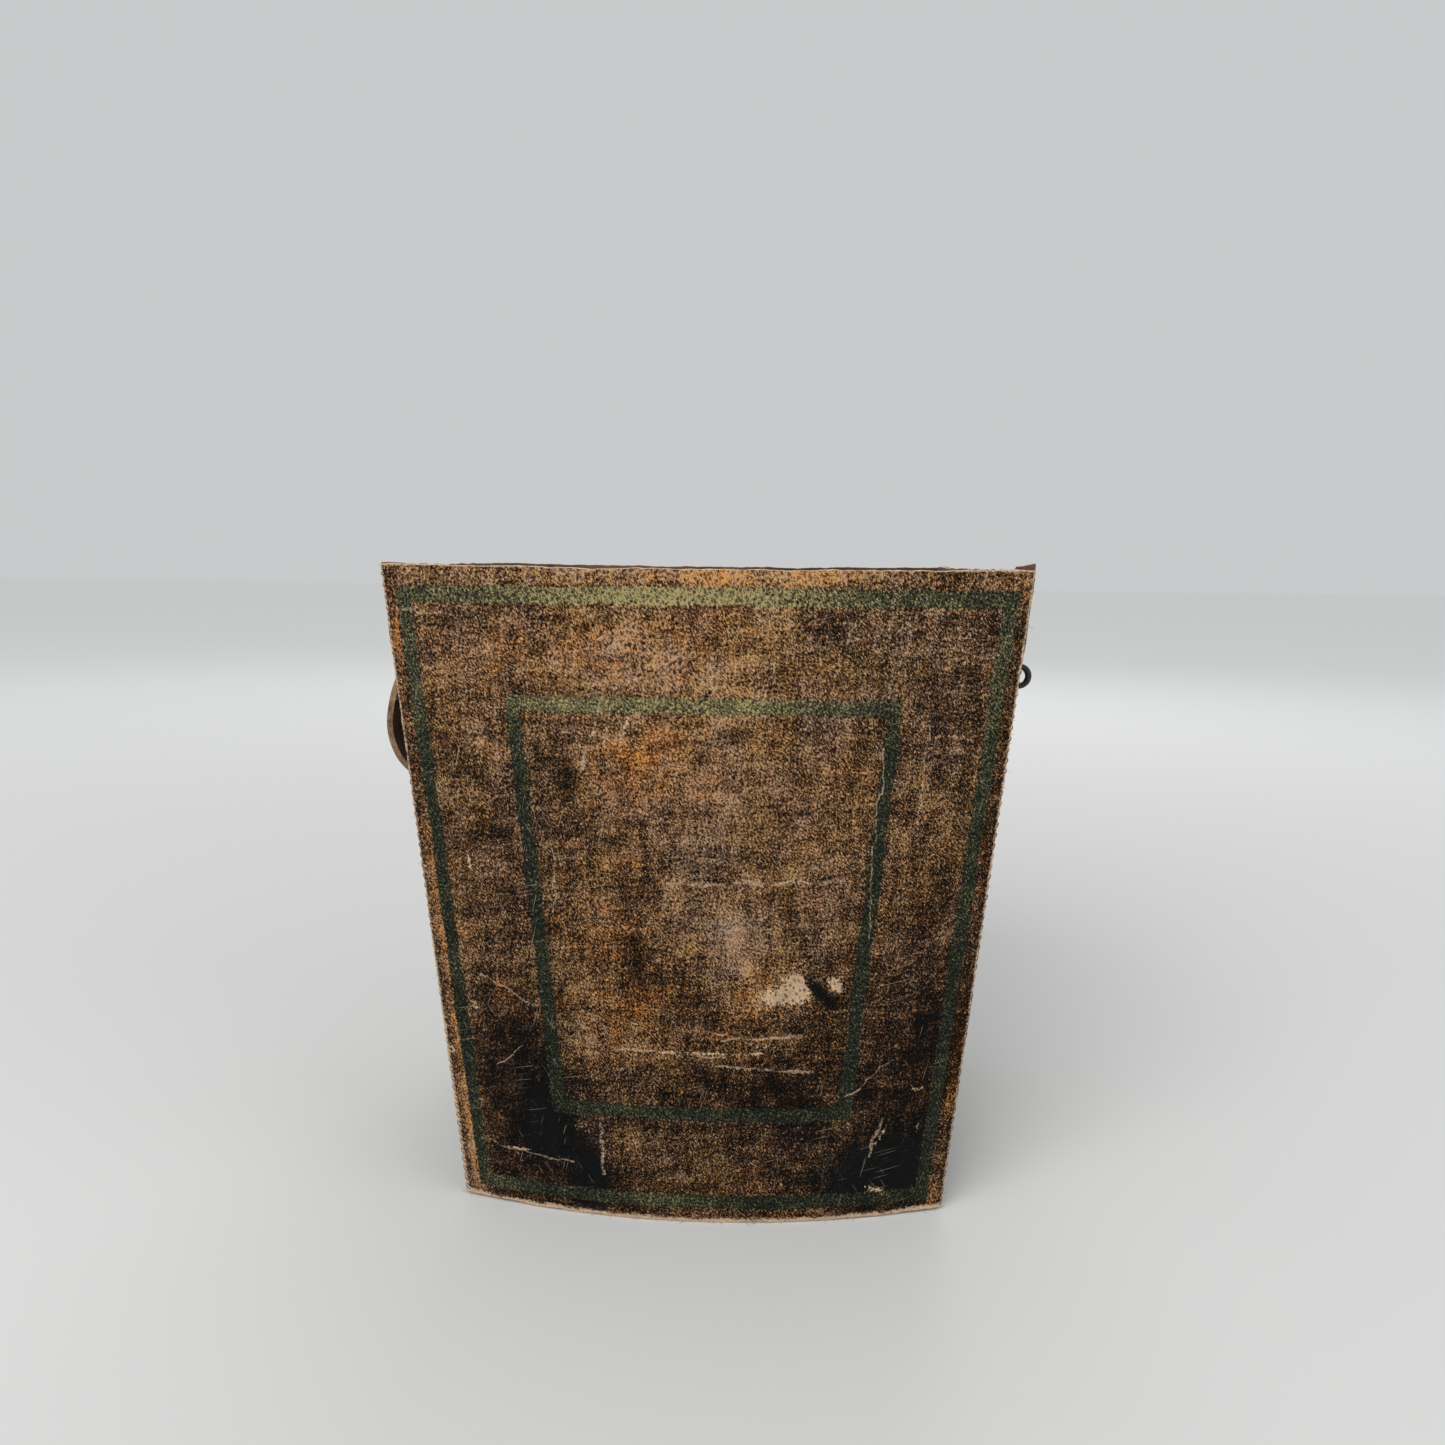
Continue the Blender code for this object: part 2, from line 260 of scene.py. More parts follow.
grain = {
    # dye and wear, from the deepest hollows to the most rubbed peaks
    "ramp": [
        (0.04, (0.0022, 0.0020, 0.0018)),
        (0.22, (0.0090, 0.0062, 0.0042)),
        (0.36, (0.0330, 0.0165, 0.0082)),
        (0.50, (0.0880, 0.0410, 0.0165)),
        (0.63, (0.1680, 0.0870, 0.0360)),
        (0.77, (0.2850, 0.1600, 0.0750)),
        (0.96, (0.4600, 0.2920, 0.1600)),
    ],
    "rust": (1.26, 0.93, 0.56),
    "cool": (0.80, 0.98, 1.30),
    "golden": (1.04, 1.00, 0.84),
    "mauve": (0.99, 0.98, 1.12),
    "pale": (0.560, 0.400, 0.270),
    "scuff": (0.520, 0.365, 0.230),
    "pore": (0.0050, 0.0038, 0.0030),
    # near black for the darkest cool spots: partly painted shade at the foot
    "nearBlack": (0.0080, 0.0100, 0.0105),
    "shine": 0.05,
    "fleckSize": 1.28,
    "fleckLean": -0.62,
    "fleckContrast": 3.5,
    "brightness": -0.095,
    "cloudy": 0.25,
    "blotch": 1.00,
    "streak": 0.50,
    "smear": 0.62,
    "crease": 0.48,
    "creaseWidth": 0.018,
    "nearBlackShare": 0.35,
    "poreScale": 0.40,
    "poreShow": 0.80,
    "lineWidth": 0.45,
    "lineShow": 0.52,
    "strokeWander": 7.0,
    "strokeShake": 1.1,
    # turn, length and rarity of each set of fine scratches
    "scratches": [(0.24, 18.0, 0.715), (-0.55, 16.0, 0.725), (1.34, 26.0, 0.720)],
    # dents of the stitches, in mm: spacing, distance from the edge, half sizes
    "dents": (4.8, 1.7, 1.0, 0.6),
}
greenDye = {
    "ramp": [
        (0.05, (0.0040, 0.0068, 0.0052)),
        (0.28, (0.0110, 0.0150, 0.0098)),
        (0.50, (0.0370, 0.0390, 0.0215)),
        (0.72, (0.1150, 0.1020, 0.0520)),
        (0.96, (0.3700, 0.2950, 0.1250)),
    ],
    "fleckContrast": 3.0,
    "blotch": 0.60,
    "base": 0.23,
}
borders = {
    # all in mm: heights of the level lines, distances in from the edge of the upright ones,
    # and the frame's half widths as (at the floor, growth per mm of height)
    "soft": 0.35,
    "drift": 2.4,
    "topBand": (285.2, 292.4),
    "bottomBand": (7.3, 14.2),
    "sideBandTop": (5.2, 11.6),
    "sideBandBottom": (8.0, 14.2),
    "frameTop": (240.0, 246.8),
    "frameBottom": (52.0, 59.0),
    "frameOuterHalf": (63.9, 0.0815),
    "frameInnerHalf": (57.2, 0.0835),
}


def grainFinish(name, axis, direction, width, seed, strokes=()):
    # axis and direction say which way runs across this wall, width is its half widths in mm
    f = Finish(name, grain["shine"])
    place = f.place()
    x, y, height = f.split(place)
    across = (x if axis == "x" else y) * direction
    moved = f.vector("ADD", place, (seed * 37.0, seed * 91.0, seed * 53.0))
    flat = f.join(across, height, seed * 17.0)
    # painted marks: tone, partly painted shade towards the foot, then warmth, scuffing and dye
    paint = f.node("ShaderNodeAttribute", {"attribute_name": "wear"})
    dye = f.outputOf(paint, 3) - 0.5
    tone, warm, scuffed = f.split(paint)

    # drawn borders
    ragged = f.cloud(moved, 0.9, 2.0) - 0.5
    drift = (f.cloud(moved, 0.055, 3.0) - 0.5) * borders["drift"] + ragged * borders["drift"]
    edge = (width[0] + height * ((width[1] - width[0]) / 300)) - abs(across)
    rise = height + drift
    side = edge + drift
    soft = borders["soft"]

    def between(value, low, high):
        return f.step(value, low - soft, low + soft) * (1 - f.step(value, high - soft, high + soft))

    def window(inward, turn, lowBand, highBand):
        # inside both the upright edge and the two level lines
        level = between(rise, borders[lowBand][turn], borders[highBand][1 - turn])
        return f.step(inward, -soft, soft) * level

    low, high = borders["sideBandBottom"], borders["sideBandTop"]
    bandStart, bandEnd = [low[i] + height * ((high[i] - low[i]) / 300) for i in range(2)]
    outside = window(side - bandStart, 0, "bottomBand", "topBand")
    inside = window(side - bandEnd, 1, "bottomBand", "topBand")
    share = (width[0] + width[1]) / (halfFront[0] + halfFront[1])
    half = abs(across) + drift
    outerHalf, innerHalf = [(height * borders[line][1] + borders[line][0]) * share
                            for line in ("frameOuterHalf", "frameInnerHalf")]
    frameOut = window(outerHalf - half, 0, "frameBottom", "frameTop")
    frameIn = window(innerHalf - half, 1, "frameBottom", "frameTop")
    band = f.most(outside - inside, frameOut - frameIn)

    def spun(turn):
        return f.node("ShaderNodeVectorRotate", {"rotation_type": "AXIS_ANGLE"},
                      {"Vector": flat, "Axis": (0, 0, 1), "Angle": turn})

    # streaks rubbed up and down, and across
    upright = f.cloud(f.times(spun(0.05), (0.70, 0.055, 1.0)), 1.0, 2.0, 0.6, 0.5)
    level = f.cloud(f.times(spun(-0.07), (0.045, 0.55, 1.0)), 1.0, 2.0, 0.6, 0.5)
    streak = upright * 0.55 + level * 0.45 - 0.5
    smear = f.cloud(f.times(flat, (0.22, 0.045, 1.0)), 1.0, 3.0, 0.6, 0.5)
    smear = smear + f.cloud(f.times(flat, (0.040, 0.30, 1.0)), 1.0, 3.0, 0.6, 0.5) - 1.0

    # grain: short slanted flecks, dark in the hollows and worn on the peaks
    slanted = f.times(spun(grain["fleckLean"]), (1.25, 0.62, 1.0))
    fleck = f.cloud(slanted, grain["fleckSize"], 2.0, 0.75, 0.6) - 0.5
    cloudy = f.cloud(moved, 0.024, 4.0, 0.60) - 0.5
    blotch = f.cloud(moved, 0.110, 4.0, 0.65) - 0.5
    drawn = fleck * grain["fleckContrast"] + blotch * grain["blotch"]
    drawn = drawn + streak * grain["streak"] + smear * grain["smear"]

    # fine pale creases in patches
    crease = abs(f.cloud(f.times(spun(0.5), (1.0, 0.6, 1.0)), 0.36, 3.0, 0.6, 0.9) - 0.5)
    creased = f.step(f.cloud(moved, 0.045, 2.0), 0.44, 0.58)
    drawn = drawn + (1 - f.step(crease, 0.0, grain["creaseWidth"])) * creased * grain["crease"] - 0.025

    # the painted tone, with less contrast where it is dark and less still where it is dark and cool; its
    # darkness at the foot is partly painted shade
    tall = f.times(moved, (1.0, 1.0, 0.6))
    patchy = 0.35 + f.cloud(tall, 0.075, 4.0, 0.6) * 1.3
    dark = f.step(0.42 - tone, 0.0, 0.30)
    darkCool = dark * f.step(0.44 + blotch * 0.3 - warm, 0.0, 0.26)
    value = 0.5 + (tone - 0.5) * patchy + grain["brightness"] + cloudy * grain["cloudy"]
    value = value + drawn * (1 - dark * 0.16 - darkCool * 0.30)
    leather = f.ramp(value, grain["ramp"])

    # hue: rust and cool patches, then a slow drift from mauve to golden
    hue = (warm - 0.5) * 2.6 + (f.cloud(moved, 0.030, 3.0) - 0.5) * 1.2
    hue = hue + (f.cloud(moved, 0.14, 3.0) - 0.5) * 1.3
    rust = f.step(hue, 0.0, 0.75)
    cool = f.step(0 - hue, 0.0, 0.75)
    leather = f.times(leather, f.blend(cool, f.blend(rust, (1, 1, 1), grain["rust"]), grain["cool"]))
    shift = f.step(f.cloud(tall, 0.065, 4.0, 0.65), 0.36, 0.64)
    leather = f.times(leather, f.blend(shift, grain["mauve"], grain["golden"]))
    # the darkest cool spots, mostly at the foot and its lower corners, go near black: partly painted shade
    leather = f.blend(darkCool * grain["nearBlackShare"], leather, grain["nearBlack"])

    # green dye, lighter and more olive higher up, most along the middle of the upper lines
    upper = f.step(height, 225, 243)
    middle = 1 - f.step(abs(across + 16), 6, 112)
    dyed = dye + greenDye["base"] + f.step(height, 90, 230) * 0.06
    dyed = dyed + upper * (0.14 + middle * 0.30) + f.step(height, 262, 286) * (0.05 + middle * 0.08)
    dyed = dyed + fleck * greenDye["fleckContrast"] + blotch * greenDye["blotch"]
    bandWorn = f.step(blotch * 0.9 + scuffed * 0.9 + ragged * 0.8, 0.34, 0.46)
    color = f.blend(band * (1 - bandWorn * 0.85), leather, f.ramp(dyed, greenDye["ramp"]))

    # follicle pores
    pit = 1 - f.step(f.cells(f.times(flat, (1.0, 0.8, 0.0)), grain["poreScale"], "2D"), 0.15, 0.32)
    poreShow = f.step(f.cloud(moved, 0.018, 2.0) + f.step(height, 180, 300) * 0.20, 0.50, 0.70)
    pore = pit * (0.16 + poreShow * 0.74)
    color = f.blend(pore * grain["poreShow"], color, grain["pore"])

    # scratches: fine ones in three directions, then the drawn ones, bent and broken
    lines = 0.0
    for turn, along, cut in grain["scratches"]:
        stretched = f.times(spun(turn), (1 / grain["lineWidth"], 1 / along, 1.0))
        lines = f.most(lines, f.step(f.cloud(stretched, 1.0, 1.0, 0.4, 0.25), cut, cut + 0.05))
    lines = lines * f.step(f.cloud(moved, 0.035, 1.0), 0.42, 0.56)
    if strokes:
        wander, shake = grain["strokeWander"], grain["strokeShake"]
        bent = f.times(f.outputOf(f.cloud(moved, 0.10, 2.0), 1), (wander, wander, 0.0))
        shaken = f.times(f.outputOf(f.cloud(moved, 0.8, 1.0), 1), (shake, shake, 0.0))
        shift = (wander + shake) / 2
        bent = f.vector("ADD", f.join(across - shift, height - shift), f.vector("ADD", bent, shaken))
        unbroken = f.step(blotch * 1.2 + ragged * 0.9 + fleck * 1.2, -0.14, 0.08)
        for start, end, wide in strokes:
            lines = f.most(lines, f.stroke(bent, start, end, wide * 1.2) * (0.10 + unbroken * 0.90))
    color = f.blend(lines * grain["lineShow"], color, grain["pale"])

    # scuffs through to the flesh
    torn = f.step(scuffed + blotch * 1.1 + ragged * 0.8 + fleck * 0.8, 0.46, 0.58)
    flesh = f.times(grain["scuff"], f.shade(0.95 + fleck * 1.3 + blotch * 0.8))
    color = f.blend(torn * (1 - pit * 0.85) * 0.90, color, flesh)

    # worn rims, wider at the foot, whose middle hangs lower than its ends
    low = 1 - f.step(height, 20, 130)
    side = edge - low * (0.35 - across * 0.005)
    foot = (height - across * across * (1.2 / (width[0] * width[0]))) * 0.75 - 0.9
    rim = f.least(side, f.least(foot + blotch * 2.5, 301.2 - height))
    rubbed = 1 - f.step(rim + ragged * 2.4 + fleck * 1.4 + blotch * 1.5, 0.15, 1.2)
    color = f.blend(rubbed * 0.9, color, f.times(grain["pale"], f.shade(1.0 + fleck * 1.5)))

    # dents of the stitches along the seams, darkened with painted shade
    spacing, inward, halfIn, halfUp = grain["dents"]
    dentAcross = (edge - inward) / halfIn
    dentUp = (f.math("FRACT", (height + edge * 0.5 + 1.2) / spacing) - 0.5) * spacing / halfUp
    dent = 1 - f.step(dentAcross * dentAcross + dentUp * dentUp, 0.4, 1.4)
    # painted shade in the dents
    color = f.blend(dent * 0.70, color, grain["pore"])

    rough = 0.62 + torn * 0.16 + rubbed * 0.15 - fleck * 0.2
    relief = fleck * 0.55 - pore * 0.25 - band * 0.12 - torn * 0.10
    relief = relief - dent * 0.35 - lines * 0.08 + blotch * 0.5
    return f.dress(color, rough, relief, 0.001, 0.9)


def rawEdgeFinish(name, pale, dark):
    f = Finish(name, 0.15)
    place = f.place()
    fibre = f.cloud(f.times(place, (1.0, 1.0, 0.6)), 1.6, 4.0, 0.7)
    patch = f.cloud(place, 0.12, 3.0)
    share = f.step(fibre * 0.55 + patch * 0.45, 0.36, 0.58)
    color = f.blend(share, dark, pale)
    return f.dress(color, 0.9, fibre, 0.0006, 1.0)


def suedeFinish(name, pale, dark):
    f = Finish(name, 0.12)
    place = f.place()
    nap = f.cloud(place, 1.3, 5.0, 0.75)
    stain = f.cloud(place, 0.018, 5.0, 0.6)
    color = f.blend(f.step(stain * 0.7 + nap * 0.3, 0.38, 0.62), dark, pale)
    f.shader.inputs["Sheen Weight"].default_value = 0.10
    f.shader.inputs["Sheen Roughness"].default_value = 0.6
    return f.dress(color, 0.92, nap, 0.0005, 0.9)


def threadFinish(name, pale, dark):
    f = Finish(name, 0.2)
    place = f.place()
    strand = f.cloud(place, 1.8, 3.0, 0.7)
    dirt = f.cloud(place, 0.09, 3.0)
    color = f.blend(f.step(strand * 0.5 + dirt * 0.5, 0.40, 0.60), dark, pale)
    return f.dress(color, 0.75, strand, 0.0003, 0.8)


def boardFinish(name, pale, dark, dust):
    f = Finish(name, 0.2)
    place = f.place()
    fibre = f.cloud(place, 0.9, 5.0, 0.75)
    stain = f.cloud(place, 0.020, 4.0, 0.6)
    specks = 1 - f.step(f.cells(place, 0.22), 0.02, 0.10)
    color = f.blend(f.step(stain * 0.75 + fibre * 0.25, 0.36, 0.64), dark, pale)
    color = f.blend(specks * 0.6, color, dust)
    return f.dress(color, 0.9, fibre, 0.0004, 0.8)


def strapFinish(name):
    # smooth strap leather: rubbed pale on the crown, dark dye left in the creases
    f = Finish(name, 0.35)
    place = f.place()
    fleck = f.cloud(place, 1.1, 4.0, 0.75) - 0.5
    patch = f.cloud(place, 0.10, 4.0, 0.62) - 0.5
    crease = f.cloud(f.times(place, (0.5, 0.5, 2.0)), 0.9, 2.0, 0.6, 0.8) - 0.5
    color = f.ramp(0.82 + fleck * 1.3 + patch * 1.3, grain["ramp"])
    tint = f.blend(f.step(patch, -0.05, 0.15), (1.12, 0.98, 0.80), (1.0, 1.0, 0.98))
    color = f.times(color, tint)
    color = f.blend((1 - f.step(crease, -0.20, -0.08)) * 0.7, color, grain["pore"])
    return f.dress(color, 0.50 + fleck * 0.3, fleck * 0.5 + crease * 0.7, 0.0007, 0.9)


def laceFinish(name, pale, dark):
    # round lace, dark olive, with worn high spots and a rolled seam
    f = Finish(name, 0.4)
    place = f.place()
    fleck = f.cloud(place, 1.6, 4.0, 0.75) - 0.5
    roll = f.cloud(f.times(place, (1.0, 2.2, 1.0)), 0.8, 2.0, 0.6, 1.2) - 0.5
    color = f.blend(f.step(fleck + roll * 0.8, 0.02, 0.34), dark, pale)
    return f.dress(color, 0.45 + fleck * 0.4, fleck * 0.4 + roll, 0.0006, 0.9)


# half widths of the walls at the floor and at the rim, in mm
halfFront = (basket["bottomWidth"] * 500, basket["topWidth"] * 500)
halfSide = (basket["bottomDepth"] * 500 + 1.0, basket["topDepth"] * 500 + 1.0)
# long scratches of the front: one end, the other end and the width, in mm
frontStrokes = [
    ((-72, 262), (-38, 252), 0.45),
    ((-38, 252), (-22, 258), 0.40),
    ((-8, 262), (8, 246), 0.40),
    ((30, 262), (22, 236), 0.35),
    ((68, 296), (60, 270), 0.55),
    ((78, 290), (77, 276), 0.45),
    ((-44, 243), (-52, 214), 0.75),
    ((-38, 244), (-42, 226), 0.60),
    ((-60, 232), (-24, 226), 0.30),
    ((-66, 190), (-64, 150), 0.35),
    ((-4, 165), (61, 168), 0.90),
    ((-2, 176), (24, 179), 0.35),
    ((-40, 86), (12, 84), 0.70),
    ((8, 92), (44, 94), 0.70),
    ((6, 80), (50, 77), 0.55),
    ((72, 140), (77, 226), 0.35),
    ((-100, 118), (-74, 104), 0.45),
    ((-104, 32), (-60, 27), 0.45),
    ((-94, 72), (-82, 84), 0.35),
    ((-46, 48), (-44, 22), 0.60),
    ((84, 52), (76, 34), 0.80),
    ((86, 82), (66, 64), 0.40),
    ((-130, 283), (-104, 279), 0.45),
    ((-94, 268), (-92, 240), 0.30),
    ((96, 236), (92, 190), 0.30),
]
finishes = {
    "front": grainFinish("front grain", "x", 1, halfFront, 0, frontStrokes),
    "rear": grainFinish("rear grain", "x", -1, halfFront, 3),
    "left": grainFinish("left grain", "y", -1, halfSide, 5),
    "right": grainFinish("right grain", "y", 1, halfSide, 7),
    "edge": rawEdgeFinish("cut edge", (0.640, 0.490, 0.370), (0.260, 0.150, 0.090)),
    "suede": suedeFinish("flesh side", (0.175, 0.098, 0.053), (0.066, 0.034, 0.019)),
    "thread": threadFinish("seam thread", (0.240, 0.140, 0.078), (0.040, 0.023, 0.014)),
    "tray": suedeFinish("base leather", (0.110, 0.060, 0.032), (0.040, 0.021, 0.012)),
    "board": boardFinish("base board", (0.300, 0.200, 0.120), (0.120, 0.072, 0.040), (0.45, 0.38, 0.30)),
    "strap": strapFinish("strap leather"),
    "strapEdge": rawEdgeFinish("strap edge", (0.420, 0.270, 0.160), (0.110, 0.058, 0.032)),
    "lace": laceFinish("lace leather", (0.120, 0.105, 0.062), (0.0090, 0.0100, 0.0070)),
    "fibre": threadFinish("frayed fibre", (0.600, 0.460, 0.340), (0.260, 0.160, 0.100)),
}
print("finishes made")


# Pieces

def addObject(name, data):
    made = bpy.data.objects.new(name, data)
    bpy.context.scene.collection.objects.link(made)
    return made


def meshFrom(bm, name, *materials):
    mesh = bpy.data.meshes.new(name)
    bm.to_mesh(mesh)
    bm.free()
    return dressed(mesh, *materials)


def dressed(mesh, *materials):
    for material in materials:
        mesh.materials.append(material)
    return mesh


def addPiece(name, mesh, body, slot, *nodes):
    piece = addObject(name, mesh)
    for face in mesh.polygons:
        face.use_smooth = True
    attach(piece, body)
    if nodes:
        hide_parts(*nodes)
    return piece


def sheetMesh(name, columns, rows, place):
    bm = bmesh.new()
    bmesh.ops.create_grid(bm, x_segments=columns, y_segments=rows, size=1)
    for vert in bm.verts:
        column = round((vert.co.x + 1) / 2 * columns)
        row = round((vert.co.y + 1) / 2 * rows)
        vert.co = place(column, row)
    return meshFrom(bm, name)


def thicken(piece, thickness, rounding=0.0006):
    shell = piece.modifiers.new("Thickness", "SOLIDIFY")
    shell.thickness = thickness
    shell.offset = -1
    shell.use_even_offset = True
    shell.material_offset = 1
    shell.material_offset_rim = 2
    soft = piece.modifiers.new("Rounded cut", "BEVEL")
    soft.width = rounding
    soft.segments = 2
    soft.limit_method = "ANGLE"
    soft.angle_limit = math.radians(55)
    soft.harden_normals = True
    return piece


def settle(piece, *cutters):
    # cuts the holes and fixes the modifiers' result into the mesh
    for cutter in cutters:
        cut = piece.modifiers.new("Hole", "BOOLEAN")
        cut.object = cutter
    bpy.context.view_layer.update()
    shown = piece.evaluated_get(bpy.context.evaluated_depsgraph_get())
    solid = bpy.data.meshes.new_from_object(shown)
    piece.modifiers.clear()
    piece.data = solid
    for cutter in cutters:
        bpy.data.objects.remove(cutter)
    return piece


def holeCutter(centre, direction, diameter, material, depth=0.012):
    bm = bmesh.new()
    radius = diameter / 2
    bmesh.ops.create_cone(bm, cap_ends=True, segments=20, radius1=radius, radius2=radius, depth=depth)
    bmesh.ops.rotate(bm, verts=bm.verts, matrix=Vector(direction).to_track_quat("Z", "Y").to_matrix())
    bmesh.ops.translate(bm, verts=bm.verts, vec=centre)
    return addObject("hole", meshFrom(bm, "hole", material))


def paintWearAndShade(mesh, across, marks):
    # adds each mark as a soft spot to the painted attribute of tone, warmth, scuffing and dye; the tone
    # also carries painted shade
    count = len(mesh.vertices)
    places = np.zeros(count * 3, np.float32)
    mesh.vertices.foreach_get("co", places)
    places = places.reshape(-1, 3) * 1000
    a = across(places)
    h = places[:, 2]
    values = np.tile(np.array([0.5, 0.5, 0.0, 0.5]), (count, 1))
    for midA, midH, sizeA, sizeH, turn, *change in marks:
        c, s = math.cos(math.radians(turn)), math.sin(math.radians(turn))
        u = ((a - midA) * c + (h - midH) * s) / sizeA
        v = (-(a - midA) * s + (h - midH) * c) / sizeH
        fall = np.exp(-(u * u + v * v))
        values[:, :len(change)] += fall[:, None] * np.array(change)
    colors = np.clip(values, 0, 1).astype(np.float32)
    attribute = mesh.attributes.new("wear", "FLOAT_COLOR", "POINT")
    attribute.data.foreach_set("color", colors.ravel())


# Front and rear walls: bowed sheets with a raw, slightly wavy cut edge

wall = {
    # wave is at the cut edge and fades over waveReach, swell is over the whole sheet
    "columns": 176,
    "rows": 192,
    "waveReach": 0.006,
    "wave": 0.0006,
    "swell": 0.0005,
}
